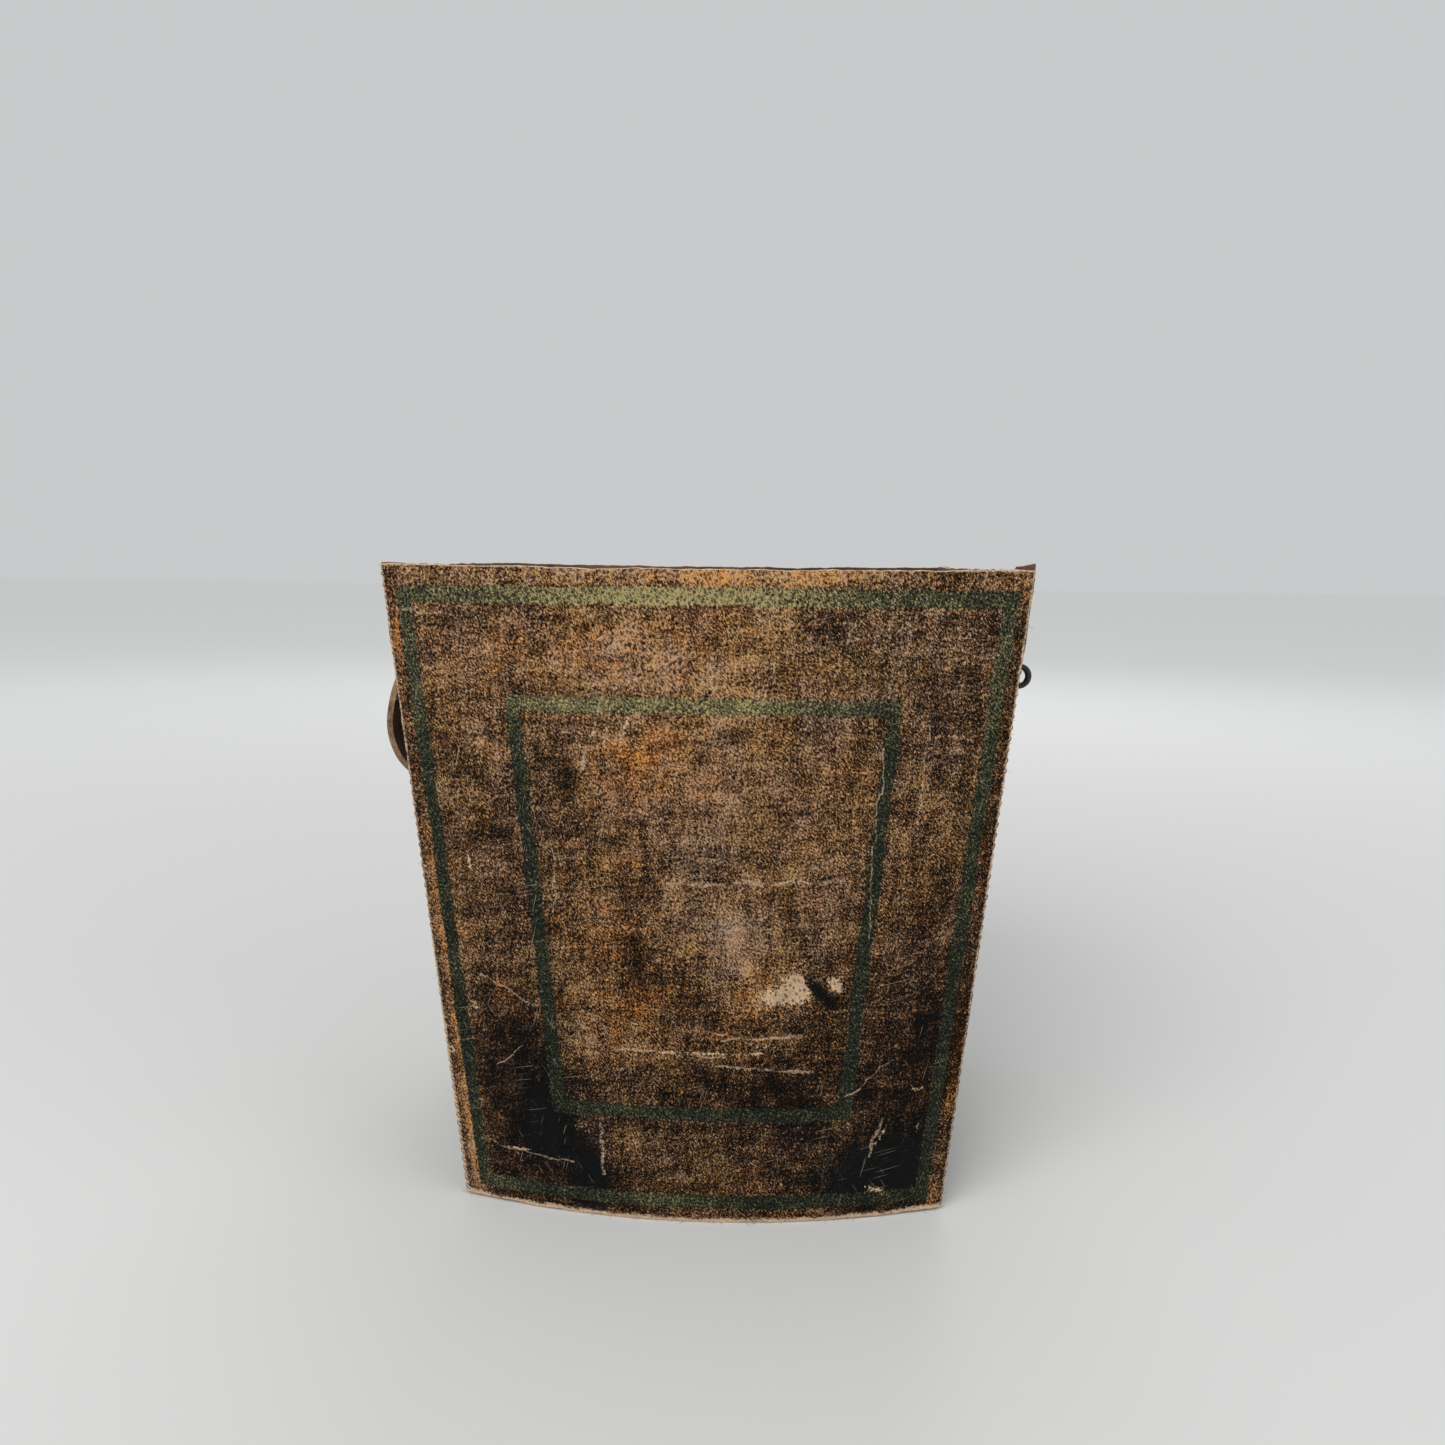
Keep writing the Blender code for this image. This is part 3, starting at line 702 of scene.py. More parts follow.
# each mark: its middle across and up, its half sizes, its turn, then what it adds to tone,
# warmth, scuffing and dye, with the zeros at the end left off
frontMarks = [
    (-8, 236, 66, 62, 0, 0.16, 0.02),
    (-34, 264, 62, 18, 0, 0.18),
    (96, 258, 34, 30, 0, 0.02, -0.10),
    (56, 240, 16, 40, 0, -0.07),
    (-22, 165, 28, 40, 0, -0.13),
    (-7, 115, 22, 20, 0, -0.10),
    (92, 180, 14, 26, 0, -0.03),
    (0, 76, 120, 16, 0, -0.07),
    (54, 20, 16, 14, 0, 0.08),
    (-6, 214, 30, 34, 0, 0.07, 0.02),
    (54, 206, 15, 44, 0, 0.10, 0.02),
    (-105, 262, 26, 34, 0, 0.06, 0.02),
    (98, 268, 40, 26, 0, 0.04, 0.02),
    (0, 298.5, 150, 6.5, 0, 0.29, 0.04),
    (10, 298.5, 58, 6.5, 0, 0.14, 0.06),
    (98, 298.5, 14, 6.5, 0, -0.16),
    (4, 140, 34, 56, 0, 0.11, -0.02),
    (28, 122, 28, 18, 0, 0.14, 0.04),
    (-42, 118, 20, 64, 0, 0.08, 0.04),
    (-73, 214, 10, 62, 4, -0.06, -0.03),
    (-38, 148, 13, 24, 0, 0.03, 0.20),
    (-28, 108, 12, 12, 0, 0.06, 0.18),
    (-26, 222, 26, 14, 0, 0.02, 0.14),
    (-26, 88, 40, 12, 0, 0.12, 0.08),
    # painted shade: darker towards the foot
    (0, 0, 220, 68, 0, -0.27),
    # lower corners darker, partly the leather's own tone and partly painted shade
    (-88, 76, 24, 38, 0, -0.26, 0.02),
    (-70, 46, 17, 22, 0, -0.30, -0.34),
    (-50, 18, 9, 18, 0, -0.34, -0.42),
    (34, 70, 36, 20, 0, -0.20, 0.02),
    (12, 16, 46, 14, 0, 0.12, 0.02),
    (58, 106, 16, 16, 0, -0.16),
    (104, 92, 26, 54, 0, -0.28, 0.04),
    (92, 27, 26, 20, 0, -0.26, -0.36),
    (66, 20, 20, 14, 0, -0.12, -0.26),
    (-6, 30, 26, 20, 0, 0.12, -0.03),
    (30, 26, 18, 12, 0, 0.08, 0.02),
    (-40, 34, 14, 8, 0, 0.14, 0.02),
    (-117, 150, 4.2, 46, 4.3, 0.24, 0.22),
    (-112, 84, 4.0, 34, 4.3, 0.26, 0.16),
    (-108, 28, 4.6, 40, 4.3, 0.62, 0.10),
    (113, 42, 3.6, 40, -4.3, 0.22, 0.20),
    (-126, 232, 4.0, 30, 4.3, -0.16, 0.04),
    (-131, 276, 3.0, 16, 4.3, 0.12, 0.30),
    (124, 180, 4.4, 90, -4.3, -0.12, 0.08),
    (108, 14, 5, 16, -4.3, 0.30, 0.14),
    (0, 4, 95, 4.0, 0, 0.16, 0.06),
    (36, 114, 9.5, 5.4, 18, 0.12, 0, 1.00),
    (43, 120, 5.8, 8.0, 20, 0.08, 0, 0.90),
    (60, 119, 3.4, 7.5, 42, 0.14, 0.10, 0.75),
    (52, 116, 1.9, 9, 42, -0.60, -0.30, -0.9),
    (20, 124, 3.6, 15, 8, 0.18, 0.08, 0.30),
    (-10, 167, 6, 6, 0, 0.14, 0.02, 0.12),
    (9, 96, 3, 5, 20, 0.08, 0.04, 0.46),
    (25, 86, 4, 2.6, -20, 0.08, 0.04, 0.46),
    (2, 150, 22, 8, -12, 0.08, -0.12),
    (-14, 142, 7, 5, 0, 0.07, -0.08, 0.05),
    (14, 134, 6, 18, 10, 0.08, -0.04, 0.03),
    (24, 150, 9, 4, 20, 0.06, -0.10, 0.04),
    (-12, 158, 6, 9, 0, 0.10, -0.04, 0.14),
    (-14, 84, 20, 3, 0, 0.10, 0.02, 0.14),
    (-52, 128, 6, 26, 0, 0.10, 0.02, 0.05),
    (-40, 162, 7, 8, 0, -0.14, -0.20),
    (2, 176, 16, 10, 0, -0.10, -0.18),
    (-30, 130, 9, 16, 0, -0.16, 0.04),
    (-10, 112, 12, 10, 0, -0.08, 0.12),
    (14, 168, 10, 30, 0, 0.05, 0.02),
    (-34, 228, 2.0, 10, -14, 0.14, 0, 0.50),
    (-50, 228, 1.8, 4.5, -28, 0.08, 0, 0.50),
    (-41, 239, 1.4, 5, 16, 0.08, 0, 0.52),
    (-31, 236, 3, 2.6, 0, 0.10, 0, 0.42),
    (-60, 212, 5.5, 34, 4, -0.24, 0.04),
    (-54, 264, 50, 22, 0, 0, 0.06),
    (-57, 46, 7, 2.4, 6, 0.20, 0.14, 0.40),
    (-23, 40, 10, 3.0, 0, 0.16, 0, 0.42),
    (-84, 30, 13, 1.0, -5, 0, 0, 0.58),
    (-45, 34, 1.4, 12, 0, 0, 0, 0.44),
    (81, 15, 6, 2.4, -20, 0, 0, 0.56),
    (83, 44, 1.2, 9, -24, 0, 0, 0.60),
    (-117, 77, 2.0, 3.4, 0, 0, 0, 0.80),
    (-104, 102, 1.0, 4.5, 8, 0, 0, 0.85, 0.2),
    (-103, 172, 0.9, 5, 4, 0, 0, 0.85, 0.2),
    (-88, 148, 1.5, 8, 18, 0, 0, 0.56),
    (99, 66, 5, 1.6, 0, 0, 0, 0.75, 0.2),
    (100, 46, 1.0, 10, 0, 0, 0, 0.58, 0.2),
    (28, 90, 13, 1.6, 0, 0.06, 0, 0.50),
    (-4, 86, 30, 1.0, 0, 0.06, 0, 0.55),
    (20, 79, 22, 1.0, 0, 0, 0, 0.58),
    (30, 73, 10, 1.4, -12, 0, 0, 0.50),
    (0, 289, 40, 8, 0, 0, 0, 0, 0.08),
    (112, 289, 18, 10, 0, 0, 0, 0, -0.08),
    (-103, 230, 8, 30, 4, 0, 0, 0, 0.06),
    (113, 215, 9, 56, -4, 0, 0, 0, 0.10),
    (-92, 10, 12, 9, 0, 0, 0, 0, 0.20),
    (-14, 11, 28, 8, 0, 0, 0, 0, 0.24),
    (-30, 55, 36, 8, 0, 0, 0, 0, 0.10),
    (-96, 24, 8, 16, 0, 0, 0, 0, 0.14),
]


def randomMarks(seed, half):
    pick = random.Random(seed)
    # the rim lighter; the foot darker as painted shade, and its lower corners darker still, partly painted
    # shade
    marks = [(0, 300, half, 8, 0, 0.18, 0.06),
             (0, 0, 200, 64, 0, -0.20, -0.06),
             (-half * 0.7, 45, 24, 30, 0, -0.14, -0.24),
             (half * 0.75, 40, 26, 34, 0, -0.14, -0.24),
             (pick.uniform(-20, 20), 235, half * 0.6, 56, 0, 0.12, 0.05),
             (pick.uniform(-20, 20), 140, half * 0.4, 44, 0, 0.13)]
    for _ in range(12):
        at = (pick.uniform(-half, half), pick.uniform(20, 280))
        size = (pick.uniform(10, 34), pick.uniform(12, 46))
        tone, warm = pick.uniform(-0.10, 0.12), pick.uniform(-0.14, 0.20)
        marks.append((*at, *size, 0, tone, warm, 0, pick.uniform(-0.1, 0.2)))
    for _ in range(12):
        at = (pick.uniform(-half, half) * 0.9, pick.uniform(15, 265))
        size = (pick.uniform(4, 14), pick.uniform(0.9, 2.2))
        marks.append((*at, *size, pick.choice((0, 84, 60, -62)), 0, 0, pick.uniform(0.5, 0.7), 0.1))
    for _ in range(2):
        x, y = pick.uniform(-half, half) * 0.7, pick.uniform(60, 220)
        for _ in range(3):
            at = (x + pick.uniform(-5, 5), y + pick.uniform(-4, 4))
            size = (pick.uniform(3, 7), pick.uniform(2, 4))
            marks.append((*at, *size, pick.uniform(-50, 50), 0.06, 0, pick.uniform(0.35, 0.55)))
    return marks


def cutWave(spot):
    # the unsteady line of the knife
    return (noise.noise(spot * 95) + 0.6 * noise.noise(spot * 310)) * wall["wave"]


def frontWallPlace(column, row):
    across = 2 * column / wall["columns"] - 1
    level = row / wall["rows"]
    spot = frontPoint(across, level)
    swell = noise.noise(spot * 22) * wall["swell"]
    toSide = halfWidth(level) * (1 - abs(across))
    toEdge = min(toSide, level * basket["height"], (1 - level) * basket["height"])
    share = max(0.0, 1 - toEdge / wall["waveReach"])
    wave = cutWave(spot) * share
    sideShare = max(0.0, 1 - toSide / wall["waveReach"])
    outward = Vector((math.copysign(wave * sideShare, across), 0, 0))
    outward.z = wave if sideShare < 0.5 else 0
    return frontPoint(across, level, -swell * (1 - share)) + outward


def hangWall(mesh, look, node, slot):
    dressed(mesh, finishes[look], finishes["suede"], finishes["edge"])
    return thicken(addPiece(mesh.name, mesh, "basket", slot, node), basket["leather"])


def makeFrontWalls():
    front = sheetMesh("front_wall", wall["columns"], wall["rows"], frontWallPlace)
    paintWearAndShade(front, lambda p: p[:, 0], frontMarks)
    rear = sheetMesh("rear_wall", wall["columns"], wall["rows"],
                     lambda column, row: turned(frontWallPlace(column, row)))
    paintWearAndShade(rear, lambda p: -p[:, 0], randomMarks(11, 115))
    hangWall(front, "front", "front_panel", "wall_leather")
    hangWall(rear, "rear", "rear_panel", "wall_leather")


# Side walls, with a flange turned out behind the front and rear walls

sideWall = {
    "rows": 150,
    "flangeSteps": 5,
    "foldSteps": 7,
    "halfSteps": 40,
    "tipCurl": 0.0030,
    "tipReach": 0.0120,
    "holeDiameter": 0.0034,
}


def sideSection(level):
    width = halfWidth(level)
    fold = foldStart(level)
    steps = sideWall["flangeSteps"]
    points = []
    proud = basket["flangeProud"] + 0.0005 * noise.noise(Vector((3.1, 0, level * 24)))
    proud -= 2 * frontBow(level) / width * basket["leather"]
    for step in range(steps):
        x = mix(width + proud, fold.x, step / steps)
        points.append(frontPointAt(x, level, 2 * basket["leather"] + basket["gap"]))
    for step in range(sideWall["foldSteps"] + 1):
        turn = math.pi / 2 * step / sideWall["foldSteps"]
        points.append(fold + Vector((-math.sin(turn), 1 - math.cos(turn), 0)) * basket["foldRadius"])
    for step in range(1, sideWall["halfSteps"] + 1):
        y = (fold.y + basket["foldRadius"]) * (1 - step / sideWall["halfSteps"])
        x = sideWallX(y, level)
        points.append(Vector((x, y, fold.z - (x - width + basket["flangeWidth"]) * math.sin(sideLean))))
    return points + [Vector((p.x, -p.y, p.z)) for p in reversed(points[:-1])]


lace = {
    "thickness": 0.0024,
    "bend": 0.0045,
    "innerBend": 0.0018,
    "toSeam": 0.0300,
    "below": 0.0461,
    "standoff": 0.0056,
}
laceHeight = basket["height"] - lace["below"]
laceLevel = levelAt(laceHeight)
laceY = halfDepth(laceLevel) - lace["toSeam"]
laceWallX = sideWallX(laceY, laceLevel)
axisX = laceWallX + lace["standoff"]


def makeSideWalls():
    rows = sideWall["rows"]
    sections = [sideSection(row / rows) for row in range(rows + 1)]
    columns = len(sections[0]) - 1

    def rightPlace(column, row):
        spot = sections[row][column]
        edgeShare = max(0.0, 1 - min(row, rows - row) / 3)
        swell = noise.noise(spot * 20) * wall["swell"] * (1 - edgeShare)
        return spot + Vector((swell, 0, cutWave(spot) * edgeShare))

    def rightCurled(column, row):
        # the front corner of the right wall has lifted at the rim
        spot = rightPlace(column, row)
        away = (spot - sections[row][0]).length / sideWall["tipReach"]
        lift = max(0.0, 1 - away) ** 1.4 * max(0.0, (row / rows - 0.96) / 0.04) ** 2
        return spot + Vector((0, 0, sideWall["tipCurl"] * lift if spot.y < 0 else 0))

    right = sheetMesh("right_wall", columns, rows, rightCurled)
    left = sheetMesh("left_wall", columns, rows, lambda column, row: turned(rightPlace(column, row)))
    paintWearAndShade(right, lambda p: p[:, 1], randomMarks(21, 85))
    paintWearAndShade(left, lambda p: -p[:, 1], randomMarks(37, 85))
    for mesh, look, side in ((right, "right", 1), (left, "left", -1)):
        piece = hangWall(mesh, look, f"{look}_panel", "side_leather")
        cutters = []
        for end in (-1, 1):
            for lift in (-lace["bend"], lace["bend"]):
                z = laceHeight + lift
                centre = Vector((side * sideWallX(laceY, levelAt(z)), end * laceY, z))
                cutters.append(holeCutter(centre, (1, 0, 0), sideWall["holeDiameter"], finishes["edge"]))
        settle(piece, *cutters)


# Overcast stitches round the pairs of edges

seam = {
    "pitch": 0.0048,
    "thread": 0.0007,
    "reach": 0.0017,
    "sink": 0.00062,
}


def seamCurve(name, side, flip):
    pick = random.Random(len(name) * 7 + side)
    curve = tubeCurve(name, seam["thread"], 1)
    radius = seam["thread"] / 2
    back = 2 * basket["leather"] + basket["gap"]
    count = int(basket["height"] / seam["pitch"])
    for index in range(count):
        start = (index + 0.35) * seam["pitch"] / basket["height"]
        reach = seam["reach"] + pick.uniform(-0.0003, 0.0003)
        slack = pick.uniform(0, 0.00025)
        sink = seam["sink"] - slack
        path = [(-reach, 0.0006, 0), (-reach + 0.0003, sink - radius, 0.05),
                (-0.0007, sink - radius, 0.25), (0.0004 - sink, radius, 0.36),
                (0.0011 - sink, back / 2, 0.48), (0.0010 - sink, back - radius, 0.60),
                (-0.0002, back + radius - sink, 0.72), (-reach + 0.0003, back + radius - sink, 0.95),
                (-reach, back - 0.0006, 1.0)]
        spline = curve.splines.new("POLY")
        spline.points.add(len(path) - 1)
        for point, (out, inset, rise) in zip(spline.points, path):
            level = min(start + rise * seam["pitch"] * 0.72 / basket["height"], 0.999)
            spot = frontPointAt(side * (halfWidth(level) + out), level, inset)
            point.co = (*(turned(spot) if flip else spot), 1)
    return curve


def tubeCurve(name, thickness, resolution, capped=True):
    curve = bpy.data.curves.new(name, "CURVE")
    curve.dimensions = "3D"
    curve.bevel_depth = thickness / 2
    curve.bevel_resolution = resolution
    curve.use_fill_caps = capped
    return curve


def curveMesh(curve, look):
    holder = addObject("holder", curve)
    bpy.context.view_layer.update()
    mesh = bpy.data.meshes.new_from_object(holder.evaluated_get(bpy.context.evaluated_depsgraph_get()))
    bpy.data.objects.remove(holder)
    bm = bmesh.new()
    bm.from_mesh(mesh)
    bmesh.ops.remove_doubles(bm, verts=bm.verts, dist=0.000005)
    bmesh.ops.recalc_face_normals(bm, faces=bm.faces)
    bm.to_mesh(mesh)
    bm.free()
    return dressed(mesh, finishes[look])


def makeSeams():
    for side, front, rear in ((1, "front_right", "rear_left"), (-1, "front_left", "rear_right")):
        for where, flip in ((front, False), (rear, True)):
            mesh = curveMesh(seamCurve(f"stitches_{where}", side, flip), "thread")
            addPiece(f"stitches_{where}", mesh, "basket", "seam_thread", f"seam_thread_{where}")


# Base: a leather tray turned up inside the walls, with the board lying in it

base = {
    "upstand": 0.0110,
    "corner": 0.0080,
    "fold": 0.0015,
    "sideSteps": 12,
    "cornerSteps": 8,
}


def trayOutline(height, inset):
    # once round the space between the walls, inset kept free inside their flesh side
    level = levelAt(height)
    inner = basket["leather"] + inset

    def frontY(x):
        return frontPointAt(x, level, inner).y

    cornerX = halfWidth(level) - basket["flangeWidth"] - inner - base["corner"]
    for _ in range(4):
        cornerX = sideWallX(frontY(cornerX) + base["corner"], level) - inner - base["corner"]
    quarter = [(cornerX * step / base["sideSteps"], frontY(cornerX * step / base["sideSteps"]))
               for step in range(base["sideSteps"])]
    for step in range(base["cornerSteps"] + 1):
        turn = math.pi / 2 * step / base["cornerSteps"]
        quarter.append((cornerX + base["corner"] * math.sin(turn),
                        frontY(cornerX) + base["corner"] * (1 - math.cos(turn))))
    sideY = quarter[-1][1]
    for step in range(1, base["sideSteps"] + 1):
        y = sideY * (1 - step / base["sideSteps"])
        quarter.append((sideWallX(y, level) - inner, y))
    right = quarter + [(x, -y) for x, y in reversed(quarter[:-1])]
    left = [(-x, y) for x, y in reversed(right[1:-1])]
    return [Vector((x, y, height)) for x, y in right + left]


def makeBase():
    gap = basket["gap"]
    fold = base["fold"]
    outlines = [trayOutline(0, gap + fold), trayOutline(fold * 0.3, gap + fold * 0.3),
                trayOutline(fold, gap), trayOutline(base["upstand"], gap)]
    bm = bmesh.new()
    circle = bmesh.ops.create_circle(bm, cap_ends=True, segments=len(outlines[0]), radius=1)
    ring = sorted(circle["verts"], key=lambda vert: math.atan2(vert.co.x, -vert.co.y) % (2 * math.pi))
    for vert, spot in zip(ring, outlines[0]):
        vert.co = spot
    order = {vert: index for index, vert in enumerate(ring)}
    for outline in outlines[1:]:
        rim = [edge for edge in bm.edges if edge.is_boundary]
        below = {tuple(vert.co): index for vert, index in order.items()}
        grown = bmesh.ops.extrude_edge_only(bm, edges=rim)["geom"]
        order = {part: below[tuple(part.co)] for part in grown if isinstance(part, bmesh.types.BMVert)}
        for vert, index in order.items():
            vert.co = outline[index]
    bmesh.ops.recalc_face_normals(bm, faces=bm.faces)
    floorFace = min(bm.faces, key=lambda face: face.calc_center_median().z)
    if floorFace.normal.z > 0:
        bmesh.ops.reverse_faces(bm, faces=bm.faces)
    mesh = meshFrom(bm, "base_tray", finishes["tray"], finishes["suede"], finishes["edge"])
    thicken(addPiece("base_tray", mesh, "basket", "base_leather", "base_panel"), basket["leather"], 0.0004)
    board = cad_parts["base_board"]
    board.data.materials.clear()
    dressed(board.data, finishes["board"])


# Lace loops: closed rings through two holes in a side wall

def laceLoop(name, side, end, bendX, seed):
    # bendX is how far out the middle of the loop's round end lies
    path = []
    for step in range(15):
        turn = math.pi * (step / 14 - 0.5)
        path.append((bendX + lace["bend"] * math.cos(turn), lace["bend"] * math.sin(turn)))
    fleshX = laceWallX - basket["leather"] - math.tan(sideLean) * lace["bend"]
    innerX = fleshX - basket["gap"] - lace["thickness"] / 2
    for top, turns in ((1, range(5)), (-1, range(4, -1, -1))):
        for step in turns:
            turn = math.pi / 2 * step / 4
            x = innerX + lace["innerBend"] * (1 - math.sin(turn))
            z = lace["bend"] - lace["innerBend"] * (1 - math.cos(turn))
            path.append((x, top * z))
    curve = tubeCurve(name, lace["thickness"], 4, False)
    spline = curve.splines.new("POLY")
    spline.points.add(len(path) - 1)
    for index, (point, (x, z)) in enumerate(zip(spline.points, path)):
        point.co = (side * x, end * laceY, laceHeight + z, 1)
        outer = max(0.0, math.sin(math.pi * min(index, 14) / 14))
        point.radius = 1 + 0.22 * outer + 0.05 * noise.noise(Vector((index * 0.9, seed, 0)))
    spline.use_cyclic_u = True
    return curveMesh(curve, "lace")


def makeLaces(strapReach):
    # the empty loops at the right stand out as far as the strap does at the left
    emptyBendX = strapReach - lace["thickness"] * 0.61 - lace["bend"]
    for end, where in ((-1, "front"), (1, "rear")):
        for side, wallSide, bendX in ((-1, "left", axisX), (1, "right", emptyBendX)):
            node = f"lace_{wallSide}_{where}"
            mesh = laceLoop(f"loop_{wallSide}_{where}", side, end, bendX, side * 3 + end)
            addPiece(mesh.name, mesh, "basket", "lace", node)


# Strap handle: a band on a U-shaped path over a round bulge, hung at the left

strap = {
    "width": 0.0170,
    "thickness": 0.0026,
    "tab": 0.0060,
    "eye": 0.0044,
    "corner": 0.0240,
    "drop": 0.0554,
    "restGap": 0.0019,
    "eyeTilt": math.radians(24.8),
    "columns": 132,
    "rows": 10,
}


def strapBulge():
    # eye, centre and radius of the bulge in the plane of x outwards and z, and its length
    tilt = strap["eyeTilt"]
    down = Vector((math.sin(tilt), -math.cos(tilt)))
    eye = Vector((axisX, laceHeight)) + down * lace["bend"]
    footZ = laceHeight - strap["drop"]
    footX = sideWallX(0, levelAt(footZ)) + strap["restGap"] + strap["thickness"] / 2
    chord = Vector((footX, footZ)) - eye
    inward = Vector((-math.cos(tilt), -math.sin(tilt)))
    radius = chord.length_squared / (2 * chord.dot(inward))
    centre = eye + inward * radius
    return eye, centre, radius, (tilt + math.asin((centre.y - footZ) / radius)) * radius


def strapPath(run, leg, gripHalf):
    arc = strap["corner"] * math.pi / 2
    if run < leg:
        return (-laceY, run), (0, 1)
    if run < leg + arc:
        turn = (run - leg) / strap["corner"]
        y = -laceY + strap["corner"] * (1 - math.cos(turn))
        return (y, leg + strap["corner"] * math.sin(turn)), (math.sin(turn), math.cos(turn))
    return (run - leg - arc - gripHalf, leg + strap["corner"]), (1, 0)


def makeStrap():
    eye, centre, radius, drop = strapBulge()
    outer = radius + strap["thickness"] / 2
    leg = drop - strap["width"] / 2 - strap["corner"]
    gripHalf = laceY - strap["corner"]
    halfRun = leg + strap["corner"] * math.pi / 2 + gripHalf
    tabSteps = 10
    half = strap["columns"] // 2

    def place(column, row):
        mirrored = column > half
        index = strap["columns"] - column if mirrored else column
        if index < tabSteps:
            run = -strap["tab"] * math.sin(math.radians(84) * (1 - index / tabSteps))
        else:
            run = halfRun * (index - tabSteps) / (half - tabSteps)
        (y, d), (headY, headD) = strapPath(run, leg, gripHalf)
        reach = strap["width"] / 2
        if run < 0:
            reach *= math.sqrt(1 - (run / strap["tab"]) ** 2)
        wave = 0.00025 * noise.noise(Vector((run * 120, row, 4.0 if mirrored else 0.0)))
        aside = (reach + (wave if row in (0, strap["rows"]) else 0)) * (1 - 2 * row / strap["rows"])
        y, d = y + headD * aside, d - headY * aside
        angle = strap["eyeTilt"] - d / radius
        swell = 0.00035 * noise.noise(Vector((y * 60, d * 60, 7.0)))
        swell -= 0.0004 * abs(1 - 2 * row / strap["rows"]) ** 3
        x = -centre.x - (outer + swell) * math.cos(angle)
        return Vector((x, -y if mirrored else y, centre.y + (outer + swell) * math.sin(angle)))

    mesh = sheetMesh("strap_handle", strap["columns"], strap["rows"], place)
    dressed(mesh, finishes["strap"], finishes["suede"], finishes["strapEdge"])
    piece = addPiece("strap_handle", mesh, "handle", "strap_leather", "handle_strap")
    thicken(piece, strap["thickness"])
    through = (-math.cos(strap["eyeTilt"]), 0, math.sin(strap["eyeTilt"]))
    cutters = [holeCutter((-eye.x, end * laceY, eye.y), through, strap["eye"], finishes["strapEdge"])
               for end in (-1, 1)]
    settle(piece, *cutters)
    return centre.x + outer


# Fibres that fray from the raw edges, mostly along the foot and the lower corners

fray = {
    "along": 150,
    "upright": 60,
    "length": (0.0010, 0.0030),
    "thickness": 0.00022,
}


def makeFray():
    pick = random.Random(5)
    for name, flip in (("frayed_front", False), ("frayed_rear", True)):
        curve = tubeCurve(name, fray["thickness"], 0)
        roots = [(pick.uniform(-1, 1), 0.002, Vector((pick.uniform(-1, 1), -0.5, -0.15)))
                 for _ in range(fray["along"])]
        for _ in range(fray["upright"]):
            side = pick.choice((-1, 1))
            roots.append((side * 0.999, pick.random() ** 2, Vector((side, -0.4, pick.uniform(-1, 0.8)))))
        for across, level, aim in roots:
            start = frontPoint(across, level, pick.uniform(0, basket["leather"]))
            length = pick.uniform(*fray["length"])
            bend = Vector([pick.uniform(-0.6, 0.6) for _ in range(3)])
            spline = curve.splines.new("POLY")
            spline.points.add(3)
            for step, point in enumerate(spline.points):
                share = step / 3
                spot = start + (aim.normalized() * share + bend * share * share * 0.5) * length
                spot.z = max(spot.z, fray["thickness"] / 2)
                point.co = (*(turned(spot) if flip else spot), 1)
                point.radius = 1 - 0.6 * share
        addPiece(name, curveMesh(curve, "fibre"), "basket", "wall_leather")


makeFrontWalls()
makeSideWalls()
makeSeams()
print("walls and seams made")
makeBase()
makeLaces(makeStrap())
makeFray()
print("base, handle and loose fibres made")


# Stage, lights and camera

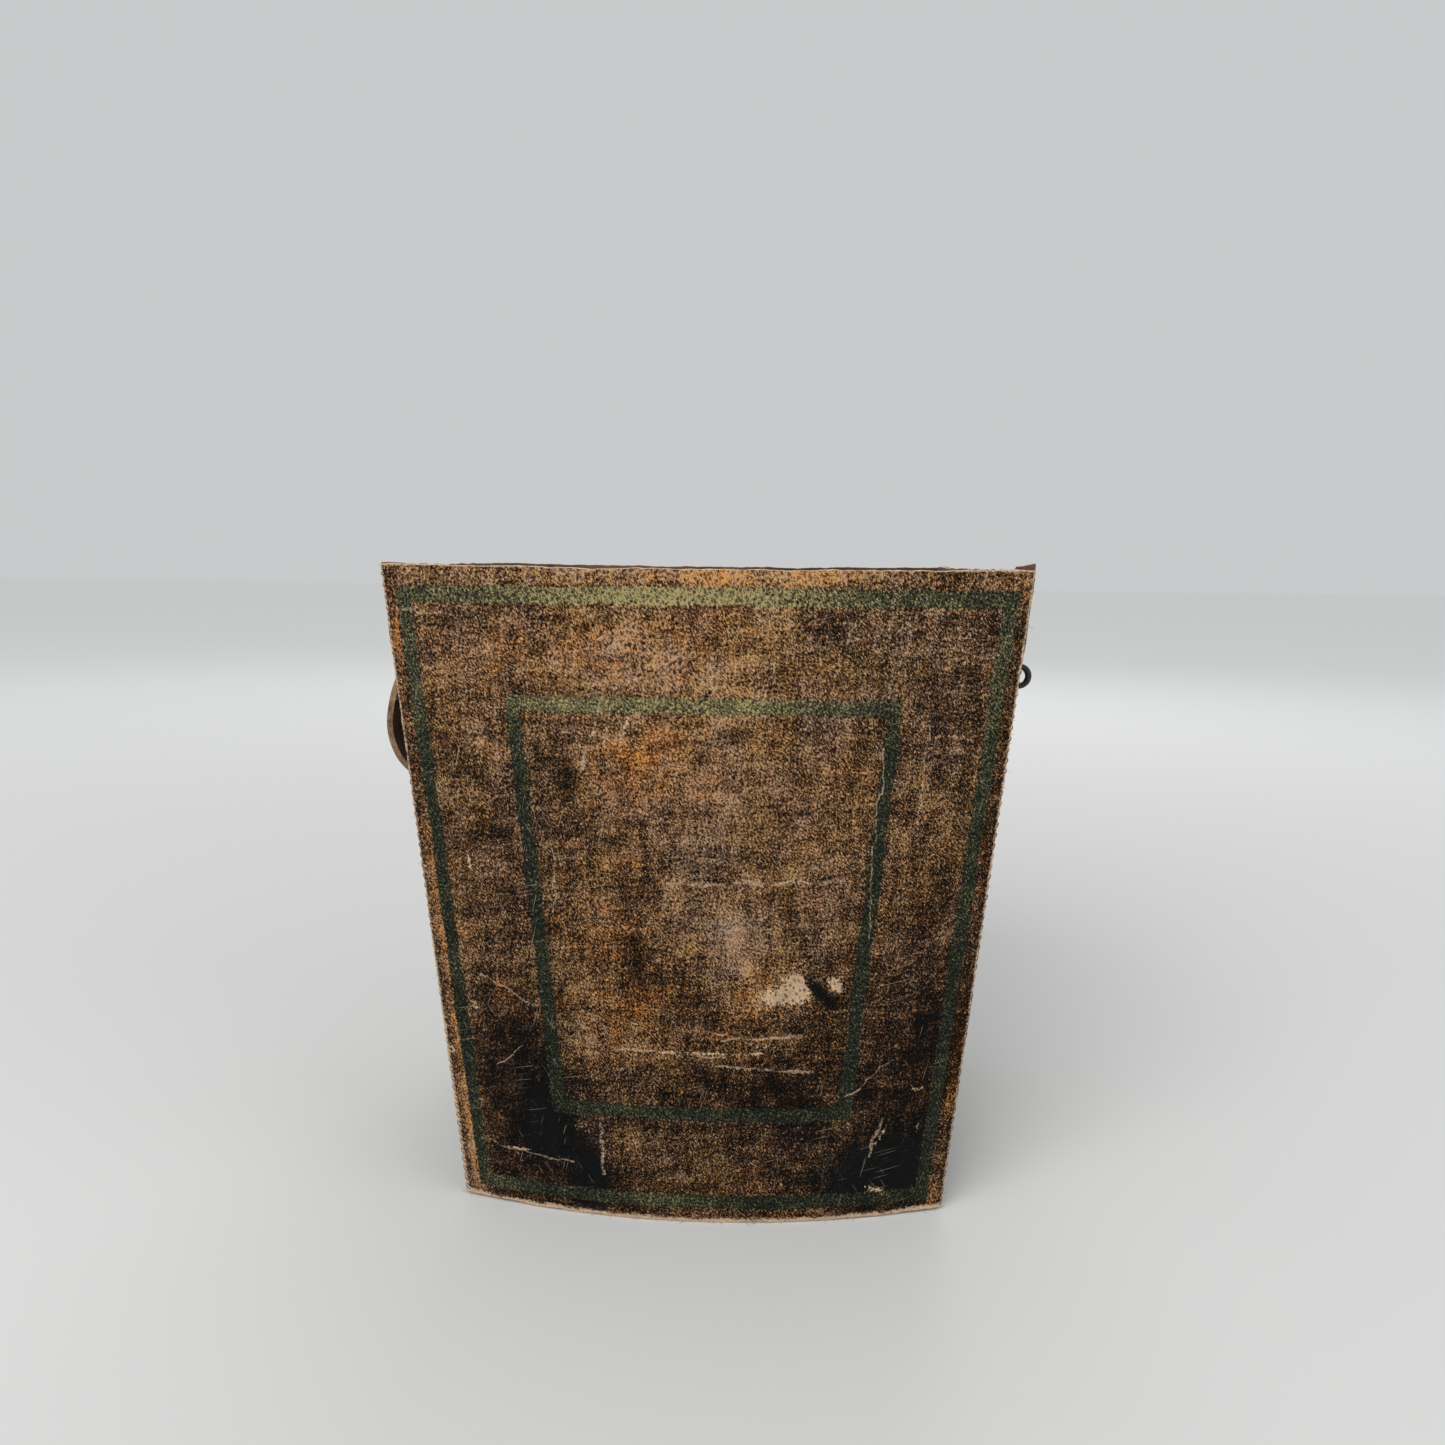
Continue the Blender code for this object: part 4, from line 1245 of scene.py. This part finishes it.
stage = {
    "floorHalf": 12,
    "near": (0.60, 0.60, 0.59),
    "far": (0.97, 0.97, 0.96),
    "fade": (300, 2600),
    "sky": (0.93, 0.95, 0.96, 1),
    "skyStrength": 0.62,
    # each light: name, place, target, size and watts
    "lights": [
        ("key", (-0.7, -1.3, 1.5), (0, 0, 0.15), 1.2, 26),
        ("fill", (1.4, -0.8, 0.9), (0, 0, 0.15), 1.4, 7),
        ("back", (0.2, 1.5, 1.6), (0, 0, 0.2), 1.2, 10),
    ],
}
viewpoint = {
    "at": (0.0250, -0.5408, 0.303),
    "lens": 25.98,
    "sensor": 36,
    "yaw": math.radians(-2.19),
    "pitch": math.radians(8.75),
    "roll": math.radians(0.61),
}


def makeStage():
    f = Finish("pale floor", 0.1)
    away = f.outputOf(f.vector("LENGTH", f.place()), 1)
    f.dress(f.blend(f.step(away, *stage["fade"]), stage["near"], stage["far"]), 0.9)
    bm = bmesh.new()
    bmesh.ops.create_grid(bm, x_segments=1, y_segments=1, size=stage["floorHalf"])
    addObject("floor", meshFrom(bm, "floor", f.material))


def makeLights():
    world = bpy.data.worlds.new("studio")
    bpy.context.scene.world = world
    world.use_nodes = True
    background = world.node_tree.nodes["Background"]
    background.inputs["Color"].default_value = stage["sky"]
    background.inputs["Strength"].default_value = stage["skyStrength"]
    for name, at, target, size, watts in stage["lights"]:
        light = bpy.data.lights.new(name, "AREA")
        light.size = size
        light.energy = watts
        lamp = addObject(name, light)
        lamp.location = at
        lamp.rotation_euler = (Vector(target) - Vector(at)).to_track_quat("-Z", "Y").to_euler()


def makeCamera():
    camera = bpy.data.cameras.new("camera")
    camera.lens = viewpoint["lens"]
    camera.sensor_width = viewpoint["sensor"]
    camera.clip_start = 0.01
    yaw, pitch, roll = [viewpoint[key] for key in ("yaw", "pitch", "roll")]
    forward = Vector((math.sin(yaw) * math.cos(pitch), math.cos(yaw) * math.cos(pitch), -math.sin(pitch)))
    level = Vector((math.cos(yaw), -math.sin(yaw), 0))
    rise = level.cross(forward)
    right = level * math.cos(roll) + rise * math.sin(roll)
    up = rise * math.cos(roll) - level * math.sin(roll)
    turn = Matrix((right, up, -forward)).transposed()
    view = addObject("camera", camera)
    view.matrix_world = Matrix.Translation(viewpoint["at"]) @ turn.to_4x4()
    bpy.context.scene.camera = view


makeStage()
makeLights()
makeCamera()
bpy.context.scene.view_settings.view_transform = "Standard"
print("stage ready")
